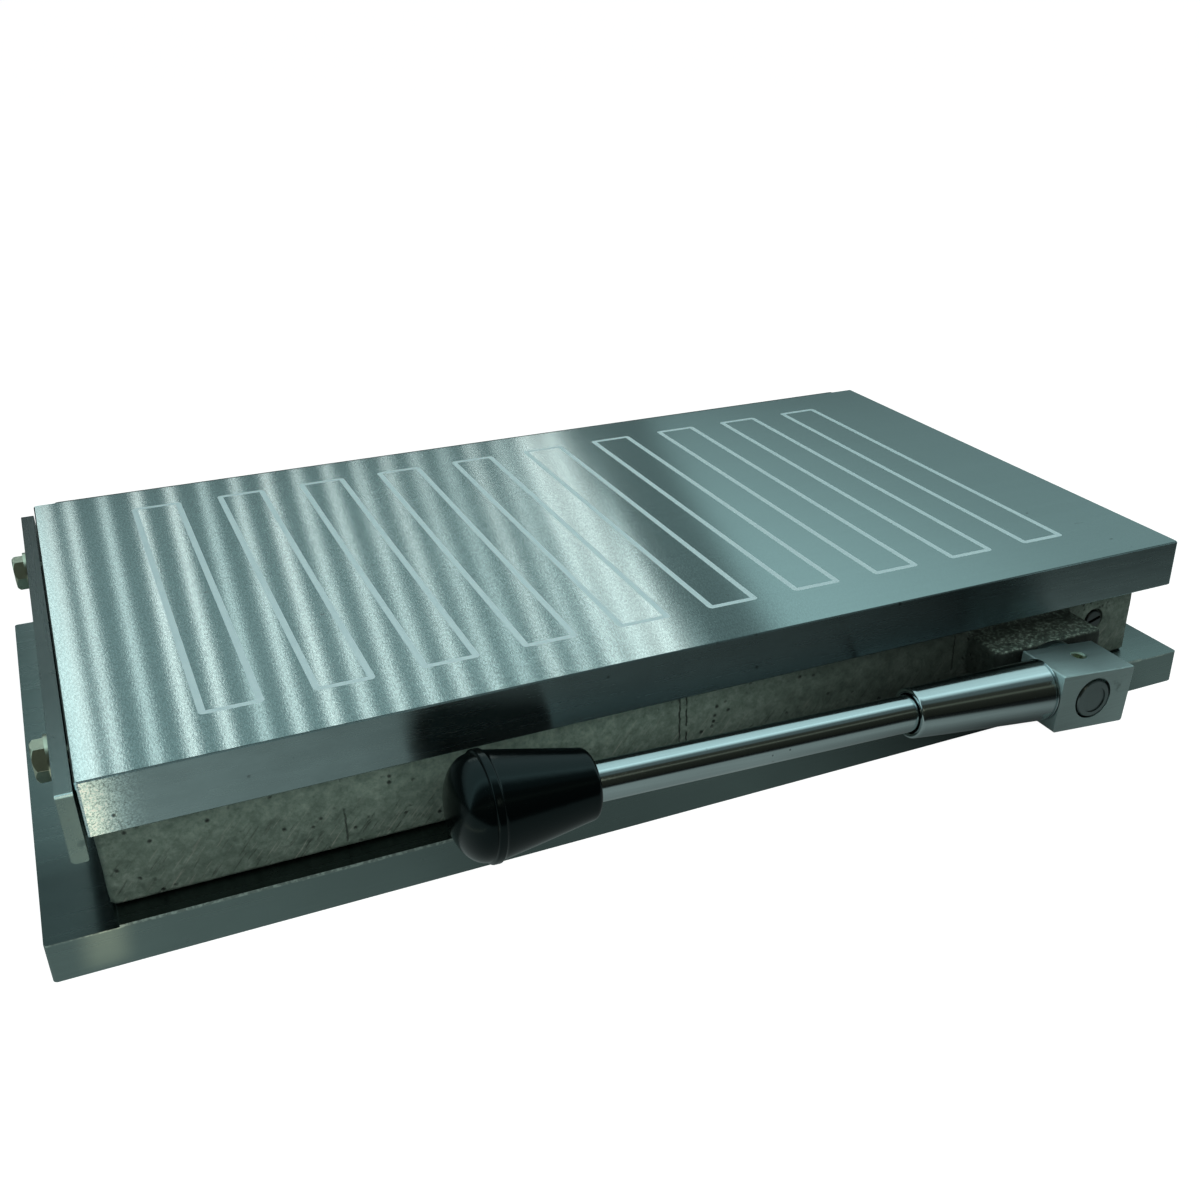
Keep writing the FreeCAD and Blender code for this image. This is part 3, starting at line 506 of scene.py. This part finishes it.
LEVER_AXIS, BAR_AXIS, BEND_T, BEND_L = lever_dir(4.7), lever_dir(2.6), 0.060, 0.006
M = {
    "ground_steel": ground_steel(),
    "machined_base": machined("machined_base", (0.18, 0.230, 0.222), 0.20, (1.0, 0.004, 0.0), edge_z=0.0106, aniso=0.9, tones=flange_painted_shade),
    "rough_casting": rough_casting(),
    "white_metal_strip": white_strip(),
    "polished_steel": turned_steel("polished_steel", LEVER_AXIS),
    "shaft_steel": turned_steel("shaft_steel", (0, 1, 0), (0.24, 0.28, 0.28), 0.26),
    "gloss_black": gloss_black(),
    "milled_steel": machined("milled_steel", (0.72, 0.85, 0.84), 0.40, (1.0, 0.3, 0.0), spot_amount=0.30, bump=0.42, tones=hub_painted_shade),
    "stop_steel": machined("stop_steel", (0.26, 0.35, 0.345), 0.20, (0.0, 1.0, 0.02), spot_amount=0.25, bump=0.20, tones=stop_tone_and_highlight),
    "zinc_plated": plain_metal("zinc_plated", (0.62, 0.66, 0.52), 0.24, 0.3, 700.0),
    "black_oxide": plain_metal("black_oxide", (0.10, 0.11, 0.11), 0.34, 0.3, 500.0),
    "hard_steel": plain_metal("hard_steel", (0.45, 0.52, 0.52), 0.2, 0.2, 500.0),
    "bronze": plain_metal("bronze", (0.60, 0.42, 0.20), 0.30, 0.25, 350.0, dark=(0.12, 0.08, 0.04)),
    "pole_steel": plain_metal("pole_steel", (0.36, 0.41, 0.41), 0.38, 0.3, 260.0),
    "cast_alloy": plain_metal("cast_alloy", (0.45, 0.48, 0.47), 0.45, 0.3, 180.0, bump=0.5),
    "magnet_grey": plain_metal("magnet_grey", (0.10, 0.105, 0.11), 0.5, 0.35, 300.0, metallic=0.4, bump=0.4),
    "felt": plain_metal("felt", (0.30, 0.27, 0.20), 0.9, 0.4, 900.0, metallic=0.0, bump=0.8, dark=(0.08, 0.07, 0.05)),
    "seal_rubber": plain_metal("seal_rubber", (0.012, 0.012, 0.013), 0.5, 0.3, 500.0, metallic=0.0),
}
for name, o in NODES.items():
    slot = next((m["slot"] for m in frame["record"]["materials"] if m["slot"] in M and o.data.materials and o.data.materials[0] and o.data.materials[0].name.split(".")[0] == m["slot"]), None)
    if slot is None:
        slot = o.data.materials[0].name.split(".")[0] if o.data.materials and o.data.materials[0] else "pole_steel"
    o["slot_name"] = slot
    o.material_slots[0].material = M[slot]
for name in ("pole_bars",):
    NODES[name].material_slots[0].material = M["ground_steel"]
NODES["drive_shaft"].material_slots[0].material = M["shaft_steel"]
NODES["thrust_washer"].material_slots[0].material = M["shaft_steel"]
NODES["port_plug"].material_slots[0].material = M["black_oxide"]
NODES["hub_set_screw"].material_slots[0].material = M["zinc_plated"]


# ------------------------------------------------------------------ mesh helpers
def new_object(name, me, body, slot, *nodes, mat=None):
    ob = bpy.data.objects.new(name, me)
    scene.collection.objects.link(ob)
    if not me.materials:
        me.materials.append(M[mat or slot])
    else:
        me.materials[0] = M[mat or slot]
    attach(ob, body)
    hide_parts(*nodes)
    return ob


def weighted(ob):
    w = ob.modifiers.new("normals", "WEIGHTED_NORMAL")
    w.keep_sharp = True
    w.weight = 80


def refined(node, name, slot, body, width, segments=2, angle=32.0, mat=None):
    """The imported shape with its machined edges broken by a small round."""
    bm = bmesh.new()
    bm.from_mesh(NODES[node].data)
    bmesh.ops.remove_doubles(bm, verts=bm.verts, dist=2e-6)
    bmesh.ops.dissolve_limit(bm, angle_limit=math.radians(0.4), verts=bm.verts, edges=bm.edges, delimit={"NORMAL"})
    bm.normal_update()
    sharp = [e for e in bm.edges if len(e.link_faces) == 2 and e.calc_face_angle(0) > math.radians(angle)]
    if width > 0:
        bmesh.ops.bevel(bm, geom=sharp, offset=width, segments=segments, profile=0.6, affect="EDGES",
                        clamp_overlap=True, loop_slide=True)
    bm.normal_update()
    me = bpy.data.meshes.new(name)
    bm.to_mesh(me)
    bm.free()
    me.shade_smooth()
    me.set_sharp_from_angle(angle=math.radians(38))
    ob = new_object(name, me, body, slot, node, mat=mat)
    weighted(ob)
    return ob


def lathe(name, profile, origin, axis, seg=144, close=True):
    """Closed body of revolution about axis from (t, r) points in metres; points at r = 0 become one vertex."""
    d = Vector(axis).normalized()
    u = d.cross(Vector((0, 0, 1))).normalized()
    v = d.cross(u)
    bm = bmesh.new()
    rings = []
    for t, r in profile:
        c = Vector(origin) + d * t
        if r < 1e-7:
            rings.append([bm.verts.new(c)])
        else:
            rings.append([bm.verts.new(c + (u * math.cos(a) + v * math.sin(a)) * r)
                          for a in (2 * math.pi * k / seg for k in range(seg))])
    pairs = list(zip(rings, rings[1:]))
    if close:
        pairs.append((rings[-1], rings[0]))
    for a, b in pairs:
        if len(a) == 1 and len(b) == 1:
            continue
        for k in range(seg):
            j = (k + 1) % seg
            if len(a) == 1:
                bm.faces.new((a[0], b[k], b[j]))
            elif len(b) == 1:
                bm.faces.new((a[k], b[0], a[j]))
            else:
                bm.faces.new((a[k], b[k], b[j], a[j]))
    bmesh.ops.recalc_face_normals(bm, faces=bm.faces)
    me = bpy.data.meshes.new(name)
    bm.to_mesh(me)
    bm.free()
    me.shade_smooth()
    me.set_sharp_from_angle(angle=math.radians(40))
    return me


def arc(t0, r0, radius, a0, a1, n):
    """Points of an arc of the profile about (t0, r0), angles from +t towards +r."""
    return [(t0 + radius * math.cos(math.radians(a0 + (a1 - a0) * k / n)),
             r0 + radius * math.sin(math.radians(a0 + (a1 - a0) * k / n))) for k in range(n + 1)]


# ------------------------------------------------------------------ lever: rod, sleeve, knob
ARM0 = Vector((104.2, -107.6, 22.3)) * MM
ARM1 = ARM0 + (LEVER_AXIS - BAR_AXIS) * BEND_T


def mm(profile):
    return [(t * MM, r * MM) for t, r in profile]




def bent(p):
    """Where a point of the straight bar goes when the bar takes its set just outside the sleeve."""
    d = LEVER_AXIS
    t = (p - ARM0).dot(d)
    b0 = BEND_T - BEND_L / 2
    if t <= b0:
        return p
    axis = d.cross(BAR_AXIS).normalized()
    full = d.angle(BAR_AXIS)
    radius = BEND_L / 2 / math.tan(full / 2)
    centre = ARM0 + d * b0 + axis.cross(d) * radius
    ang = min(full, (t - b0) / radius)
    flat = p - d * (t - b0)
    q = centre + Matrix.Rotation(ang, 3, axis) @ (flat - centre)
    if (t - b0) / radius > full:
        q = q + BAR_AXIS * (t - b0 - full * radius)
    return q


rod_p = [(6.6, 0.0), (6.6, 4.7), (6.9, 5.0)] + [(t, 5.0) for t in (20, 40, 56, 57, 58, 59, 60, 61, 62, 63, 64, 70, 80, 90, 100, 120, 140, 146.7)] + \
        [(147.1, 4.7), (147.1, 4.0), (166.9, 4.0), (167.2, 3.7), (167.2, 0.0)]
rod_me = lathe("lever_rod_bar", mm(rod_p), ARM0, LEVER_AXIS, close=False)
for v in rod_me.vertices:
    v.co = bent(v.co)
rod = new_object("lever_rod_bar", rod_me, "lever", "polished_steel", "lever_rod")
weighted(rod)

S_END = 6.75          # radius of the sleeve at its mouth
sl_p = [(7.4, 5.4), (7.4, 6.2), (12.72, 6.2), (12.72, 8.53), (12.78, 8.59), (12.92, 8.59), (12.98, 8.53), (12.98, 7.82)]
sl_p += [(13.10, 7.86), (13.58, 8.42), (13.78, 8.495), (24.0, 8.13), (34.0, 7.74), (44.0, 7.33), (55.7, S_END + 0.03)]
sl_p += arc(56.2, S_END - 0.6, 0.6, 70, 0, 4) + [(56.8, 5.80), (56.7, 5.5), (56.2, 5.4)]
sleeve_me = lathe("lever_sleeve_tube", mm(sl_p), ARM0, LEVER_AXIS)
sleeve = new_object("lever_sleeve_tube", sleeve_me, "lever", "polished_steel", "lever_sleeve")
weighted(sleeve)

k0, rim_t, rim_w, k1 = 147.2, 172.1, 2.2, 181.9
rim = 13.33
kn = [(k0, 4.4)] + [(k0, 6.2)] + arc(k0 + 1.8, 8.8 - 1.8, 1.8, 180, 96, 8)
r_a, r_b = 8.8, rim - 0.62
for k in range(1, 12):
    f = k / 12.0
    kn.append((k0 + 1.9 + (rim_t - 0.75 - k0 - 1.9) * f, r_a + (r_b - r_a) * f + 0.05 * math.sin(math.pi * f)))
kn += [(rim_t - 0.75, rim - 0.60), (rim_t - 0.45, rim - 0.62), (rim_t - 0.2, rim - 0.52)]
kn += arc(rim_t + 0.55, rim - 0.55, 0.55, 165, 90, 5)
kn += arc(rim_t + rim_w - 0.55, rim - 0.55, 0.55, 90, 12, 5)
kn += [(rim_t + rim_w + 0.12, rim - 0.72)]
d0 = rim_t + rim_w + 0.2
for k in range(1, 26):
    th = math.radians(90.0 * k / 26)
    kn.append((d0 + (k1 - d0) * math.sin(th), (rim - 0.75) * math.cos(th) ** 0.93))
kn += [(k1, 0.0), (167.5, 0.0), (167.5, 4.4)]
knob_me = lathe("lever_knob_ball", mm(kn), ARM1, BAR_AXIS, seg=160)
knob = new_object("lever_knob_ball", knob_me, "lever", "gloss_black", "lever_knob")
weighted(knob)

# ------------------------------------------------------------------ machined blocks
hub = refined("lever_hub", "lever_hub_block", "milled_steel", "lever", 0.22 * MM)
end_rail = refined("end_stop", "end_stop_bar", "stop_steel", "end_rail", 0.22 * MM)
back_rail = refined("back_stop", "back_stop_bar", "stop_steel", "back_rail", 0.22 * MM)
base = refined("base_plate", "base_slab", "machined_base", "chuck", 0.25 * MM)
for node, nm, body in (("end_stop_screws", "end_stop_hex_screws", "chuck"), ("back_stop_screws", "back_stop_hex_screws", "chuck")):
    refined(node, nm, "zinc_plated", body, 0.12 * MM)


# ------------------------------------------------------------------ body casting
def primitive_cylinder(bm, p0, p1, r, seg=96):
    d = (Vector(p1) - Vector(p0))
    rot = d.to_track_quat("Z", "Y").to_matrix().to_4x4()
    mat = Matrix.Translation((Vector(p0) + Vector(p1)) / 2) @ rot
    bmesh.ops.create_cone(bm, cap_ends=True, segments=seg, radius1=r, radius2=r, depth=d.length, matrix=mat)


def temp_object(name, bm):
    me = bpy.data.meshes.new(name)
    bm.to_mesh(me)
    bm.free()
    ob = bpy.data.objects.new(name, me)
    scene.collection.objects.link(ob)
    return ob


def evaluated(ob, name):
    dg = bpy.context.evaluated_depsgraph_get()
    dg.update()
    return bpy.data.meshes.new_from_object(ob.evaluated_get(dg), depsgraph=dg)


def casting_offset(p, n):
    """How far the rough skin stands off the pattern at p, in metres."""
    q = p * 1000.0
    wave = noise.noise(q * 0.035 + Vector((3.1, 0, 7.7))) * 0.16
    lump = noise.noise(q * 0.16 + Vector((11.0, 5.0, 0))) * 0.10
    grit = noise.noise(q * 0.55) * 0.055
    hole = noise.noise(q * 0.42 + Vector((40, 2, 9)))
    pit = -0.30 * max(0.0, hole - 0.52) / 0.3
    return (wave + lump + grit + pit - 0.12) * MM


def build_body():
    bm = bmesh.new()
    bm.from_mesh(NODES["body_casting"].data)
    bmesh.ops.remove_doubles(bm, verts=bm.verts, dist=2e-6)
    primitive_cylinder(bm, (0.1042, -0.0960, 0.0216), (0.1042, -0.0685, 0.0216), 0.0074)
    primitive_cylinder(bm, (0.1342, -0.0815, 0.0247), (0.1342, -0.0685, 0.0247), 0.0045)
    src = temp_object("body_src", bm)
    rm = src.modifiers.new("skin", "REMESH")
    rm.mode = "VOXEL"
    rm.voxel_size = 0.95 * MM
    me = evaluated(src, "body_skin")
    bpy.data.objects.remove(src)
    bm = bmesh.new()
    bm.from_mesh(me)
    front = [f for f in bm.faces if f.calc_center_median().y < -0.0785 and f.normal.z < 0.7]
    edges = list({e for f in front for e in f.edges})
    bmesh.ops.subdivide_edges(bm, edges=edges, cuts=1, use_grid_fill=True, smooth=0.0)
    bm.normal_update()
    moves = []
    for v in bm.verts:
        p = v.co
        if p.z < 0.01125 or p.z > 0.03815:
            continue
        outer = abs(p.x) > 0.1455 or p.y < -0.0795 or p.y > 0.0775
        if not outer:
            continue
        fade = min(1.0, (p.z - 0.0112) / 0.0016, (0.0382 - p.z) / 0.0008)
        # the seat round the shaft and the plug is machined
        if p.y < -0.0955:
            r = math.hypot(p.x - 0.1042, p.z - 0.0216)
            fade *= min(1.0, max(0.0, (r - 0.0075) / 0.002))
        if p.y < -0.0795 and p.x > 0.125:
            r = math.hypot(p.x - 0.1343, p.z - 0.0246)
            fade *= min(1.0, max(0.0, (r - 0.0042) / 0.001))
        moves.append((v, v.co + v.normal * casting_offset(p, v.normal) * max(0.0, fade)))
    for v, q in moves:
        v.co = q
    bm.normal_update()
    skin = temp_object("body_skin", bm)
    cut = bmesh.new()
    primitive_cylinder(cut, (0.1042, -0.1000, 0.0216), (0.1042, -0.0600, 0.0216), 0.0070)
    cutter = temp_object("bore_cut", cut)
    cut2 = bmesh.new()
    primitive_cylinder(cut2, (0.13415, -0.0860, 0.02475), (0.13415, -0.0801, 0.02475), 0.0036)
    cutter2 = temp_object("plug_cut", cut2)
    cut3 = bmesh.new()
    primitive_cylinder(cut3, (0.1345, -0.0820, 0.0244), (0.1345, -0.0600, 0.0244), 0.0030)
    cutter3 = temp_object("plug_thread_cut", cut3)
    for c in (cutter, cutter2, cutter3):
        b = skin.modifiers.new("cut", "BOOLEAN")
        b.operation = "DIFFERENCE"
        b.solver = "MANIFOLD"
        b.object = c
    done = evaluated(skin, "body_casting_rough")
    for o in (skin, cutter, cutter2, cutter3):
        bpy.data.objects.remove(o)
    done.name = "body_casting_rough"
    done.shade_smooth()
    done.set_sharp_from_angle(angle=math.radians(50))
    done.materials.clear()
    return done


body_me = build_body()
body_ob = new_object("body_casting_rough", body_me, "chuck", "rough_casting", "body_casting")

# ------------------------------------------------------------------ floor, surroundings and lights
bm = bmesh.new()
bmesh.ops.create_grid(bm, x_segments=4, y_segments=4, size=40.0)
floor = temp_object("floor", bm)
fg = Mat("floor_pale")
fo = fg.obj()
ft = fg.math("ADD", 0.985, fg.math("MULTIPLY", fg.noise(fo, 3.0, 3.0, 0.5), 0.02))
fg.set(Base_Color=fg.mix(1.0, (0.55, 0.56, 0.56), fg.comb(ft, ft, ft), "MULTIPLY"), Roughness=0.9,
       Emission_Color=(1.0, 1.0, 1.0), Emission_Strength=0.95, Specular_IOR_Level=0.1)
floor.data.materials.append(fg.m)
floor.visible_glossy = False
floor.visible_diffuse = False
floor.visible_shadow = False


def emitter(name):
    """A material that only gives light."""
    g = Mat(name)
    g.t.nodes.remove(g.p)
    em = g.node("ShaderNodeEmission")
    g.t.links.new(em.outputs[0], g.out.inputs[0])
    return g, em


def only_reflected(ob):
    """Seen in the polished metal and nowhere else."""
    ob.visible_camera = False
    ob.visible_shadow = False
    ob.visible_diffuse = False
    return ob


def overhead_panel():
    """A soft ceiling panel with a row of tubes, high behind the chuck; its picture in the work face is the row of light streaks."""
    height = 0.5
    k = height / (CAM_POS.z - 0.052)
    sx, sy = -k * CAM_POS.x, -k * CAM_POS.y
    bm = bmesh.new()
    pts = [(-0.1512, -0.125), (0.185, -0.125), (0.185, 0.105), (-0.1512, 0.105)]
    vs = [bm.verts.new(((1 + k) * x + sx, (1 + k) * y + sy, 0.052 + height)) for x, y in pts]
    bm.faces.new(vs)
    ob = temp_object("ceiling_panel", bm)
    g, em = emitter("ceiling_light")
    X, Y, Z = g.sep(g.obj())
    px = g.math("MULTIPLY", g.math("SUBTRACT", X, sx), 1000.0 / (1 + k))
    py = g.math("MULTIPLY", g.math("SUBTRACT", Y, sy), 1000.0 / (1 + k))
    fan = g.math("ADD", g.math("MULTIPLY", py, 0.00168), 1.0)
    s = g.math("DIVIDE", g.math("ADD", px, 143.0), fan)
    u = g.math("DIVIDE", g.math("SUBTRACT", s, 2.5), 8.85)
    i = g.math("ROUND", u)
    f = g.math("ABSOLUTE", g.math("SUBTRACT", u, i))
    tube = g.step(f, 0.17, 0.06)
    wn = g.node("ShaderNodeTexWhiteNoise", noise_dimensions="1D")
    g.put(wn.inputs["W"], i)
    amp = g.math("ADD", 0.75, g.math("MULTIPLY", wn.outputs["Value"], 0.5))
    tube = g.math("MULTIPLY", tube, amp)
    end1 = g.math("ADD", 9.5, g.math("MULTIPLY", py, 0.19))        # where the panel's bright part ends
    d1 = g.math("SUBTRACT", px, end1)
    left = g.step(d1, 3.5, -3.5)
    strong = g.math("MULTIPLY", g.step(d1, -26.0, -12.0), left)
    end2 = g.math("ADD", 37.0, g.math("MULTIPLY", py, 0.25))
    d2 = g.math("SUBTRACT", px, end2)
    right = g.step(d2, -9.0, 7.0)
    fade = g.lin(px, 38.0, 118.0, 1.07, 0.64)
    depth = g.lin(py, -85.0, 80.0, 1.12, 0.72)
    right = g.math("MULTIPLY", g.math("MULTIPLY", g.math("MULTIPLY", right, fade), depth), 0.345)
    front = g.lin(py, -90.0, 80.0, 0.255, 0.195)
    strip = g.math("MULTIPLY", g.step(s, -4.9, -4.3), g.step(s, -1.7, -2.3))
    rim = g.step(s, -4.4, -4.9)
    e = g.math("MULTIPLY", left, front)
    e = g.math("ADD", e, g.math("MULTIPLY", g.math("MULTIPLY", tube, left), g.lin(py, -90.0, 80.0, 0.95, 0.66)))
    e = g.math("ADD", e, g.math("MULTIPLY", strong, 0.37))
    e = g.math("ADD", e, g.math("MULTIPLY", strip, g.lin(py, -90.0, 80.0, 0.98, 0.58)))
    e = g.math("ADD", e, g.math("MULTIPLY", rim, 0.25))
    dark = g.math("MULTIPLY", g.math("SUBTRACT", 1.0, left), 0.13)
    e = g.math("ADD", e, g.math("MAXIMUM", dark, right))
    whiter = g.math("MAXIMUM", g.math("MULTIPLY", tube, left), g.math("MAXIMUM", strong, strip))
    col = g.mix(g.math("MULTIPLY", whiter, 0.85), (0.70, 1.0, 1.0), (0.96, 1.0, 0.96))
    g.put(em.inputs["Color"], col)
    g.put(em.inputs["Strength"], g.math("MULTIPLY", e, 1.62))
    ob.data.materials.append(g.m)
    return only_reflected(ob)


def table_card():
    """The bench as the metal sees it: grey, in shade under the lever, lost in the dark far from the chuck."""
    bm = bmesh.new()
    vs = [bm.verts.new((x, y, -0.0004)) for x, y in ((-1.6, -1.6), (1.6, -1.6), (1.6, 1.6), (-1.6, 1.6))]
    bm.faces.new(vs)
    ob = temp_object("bench_reflection", bm)
    g, em = emitter("bench_light")
    o = g.obj()
    X, Y, Z = g.sep(o)
    wobble = g.math("MULTIPLY", g.math("SUBTRACT", g.noise(o, 40.0, 2.0, 0.5), 0.5), 0.012)
    pos = g.lin(g.math("ADD", X, wobble), -0.20, 0.20)

    def stops(rows):
        return [((x + 200.0) / 400.0, (v * 0.82, v, v * 0.97)) for x, v in rows]

    near = g.ramp(pos, stops(NEAR_ROW))
    far = g.ramp(pos, stops(FAR_ROW))
    col = g.mix(g.step(Y, -0.108, -0.150), near, far)
    behind = g.step(Y, -0.088, -0.080)
    col = g.mix(behind, col, (0.21, 0.26, 0.25))
    # the lit part of the bench ends on a slanting line in front, nearer at the right
    end = g.math("ADD", Y, g.math("MULTIPLY", g.math("SUBTRACT", g.math("MINIMUM", X, 0.16), 0.040), -0.69))
    ahead = g.step(end, -0.300, -0.205, 0.07, 1.0)
    r = g.math("MAXIMUM", g.math("ABSOLUTE", Y), g.math("MULTIPLY", g.math("ABSOLUTE", X), 0.55))
    fade = g.math("MULTIPLY", ahead, g.step(r, 0.60, 0.30, 0.25, 1.0))
    glint = g.step(g.math("ABSOLUTE", g.math("ADD", X, 0.1525)), 0.0075, 0.001)
    glint = g.math("MULTIPLY", g.math("MULTIPLY", glint, g.step(Y, -0.09, -0.095)), g.lin(Y, -0.10, -0.165, 0.45, 1.0))
    glint = g.math("MULTIPLY", glint, g.step(Y, -0.26, -0.20))
    col = g.mix(glint, col, (1.45, 1.42, 1.10))
    g.put(em.inputs["Color"], g.mix(1.0, col, fade, "MULTIPLY"))
    ob.data.materials.append(g.m)
    return only_reflected(ob)


# tone of the bench along x (mm), close to the base and 80 mm out
NEAR_ROW = [(-150, 0.47), (-85, 0.34), (-60, 0.22), (15, 0.25), (84, 0.05), (105, 0.05), (160, 0.38)]
FAR_ROW = [(-170, 0.42), (-60, 0.3), (70, 0.26), (190, 0.17)]


def lamp_card(name, loc, size, strength, colour):
    """A small warm lamp, seen only as a glint."""
    toward = (Vector((0, -0.1, 0.03)) - Vector(loc)).to_track_quat("-Z", "Y").to_matrix().to_4x4()
    bm = bmesh.new()
    bmesh.ops.create_grid(bm, x_segments=1, y_segments=1, size=size / 2, matrix=Matrix.Translation(loc) @ toward)
    ob = temp_object(name, bm)
    g, em = emitter(name)
    n = g.math("ADD", 0.9, g.math("MULTIPLY", g.noise(g.obj(), 60.0), 0.2))
    g.put(em.inputs["Color"], colour)
    g.put(em.inputs["Strength"], g.math("MULTIPLY", n, strength))
    ob.data.materials.append(g.m)
    return only_reflected(ob)


table_card()
lamp_card("warm_lamp", (0.014, -0.40, 0.245), 0.045, 1.1, (1.0, 0.93, 0.72))
overhead_panel()

world = bpy.data.worlds.new("studio")
scene.world = world
world.use_nodes = True
w = Graph(world.node_tree)
out = w.node("ShaderNodeOutputWorld")
bg = w.node("ShaderNodeBackground")
w.t.links.new(bg.outputs[0], out.inputs[0])
dx, dy, dz = w.sep(w.node("ShaderNodeTexCoord").outputs["Generated"])
el = w.math("MULTIPLY", w.math("ARCSINE", dz), 180.0 / math.pi)
az = w.math("MULTIPLY", w.math("ARCTAN2", dx, w.math("MULTIPLY", dy, -1.0)), 180.0 / math.pi)
# angle round the length of the chuck: 0 is the horizon in front, 90 overhead, 180 the horizon behind
psi = w.math("MULTIPLY", w.math("ARCTAN2", dz, w.math("MULTIPLY", dy, -1.0)), 180.0 / math.pi)
# a dark room with one thin light line low in front, a dim wall, and a bright ceiling that fades toward the back
WARM, COOL = (0.90, 1.0, 0.78), (0.72, 1.0, 1.02)
upper = w.ramp(w.lin(psi, 0.0, 180.0), [
    (a / 180.0, tuple(v * c for c in (WARM if a < 54 else COOL))) for a, v in (
        (0, 0.013), (28, 0.027), (34, 0.145), (39, 0.036), (52, 0.040), (56, 0.125), (70, 0.132),
        (83, 0.98), (87, 1.30), (92, 0.90), (130, 0.74), (160, 0.15), (180, 0.034))])
below = w.step(dz, 0.0, -0.04)
env = w.mix(below, upper, (0.03, 0.038, 0.036))
lp = w.node("ShaderNodeLightPath")
seen = w.mix(lp.outputs["Is Camera Ray"], env, (0.97, 0.98, 0.98))
seen = w.mix(lp.outputs["Is Diffuse Ray"], seen, (0.030, 0.036, 0.035))
w.put(bg.inputs["Color"], seen)
bg.inputs["Strength"].default_value = 1.0


def area(name, loc, target, size, power, colour=(1, 1, 1), size_y=None):
    ld = bpy.data.lights.new(name, "AREA")
    ld.shape = "RECTANGLE"
    ld.size, ld.size_y = size, size_y or size
    ld.energy = power
    ld.color = colour
    lo = bpy.data.objects.new(name, ld)
    scene.collection.objects.link(lo)
    lo.location = loc
    lo.rotation_mode = "QUATERNION"
    lo.rotation_quaternion = (Vector(target) - Vector(loc)).to_track_quat("-Z", "Y")
    lo.visible_camera = False
    return lo


area("key_top", (-0.05, -0.62, 0.95), (0, -0.08, 0), 0.30, 1.7, (0.95, 1.0, 0.98)).visible_glossy = False
area("front_left", (-0.20, -0.52, 0.20), (-0.04, -0.08, 0.02), 0.60, 0.36, (0.97, 1.0, 0.94), size_y=0.34).visible_glossy = False
area("front_high", (-0.03, -0.60, 0.40), (-0.03, -0.08, 0.03), 0.46, 1.05, (0.97, 1.0, 0.95), size_y=0.22).visible_glossy = False
area("front_right", (0.52, -0.46, 0.20), (0.13, -0.08, 0.02), 0.20, 0.32, (0.97, 1.0, 0.97), size_y=0.12).visible_glossy = False
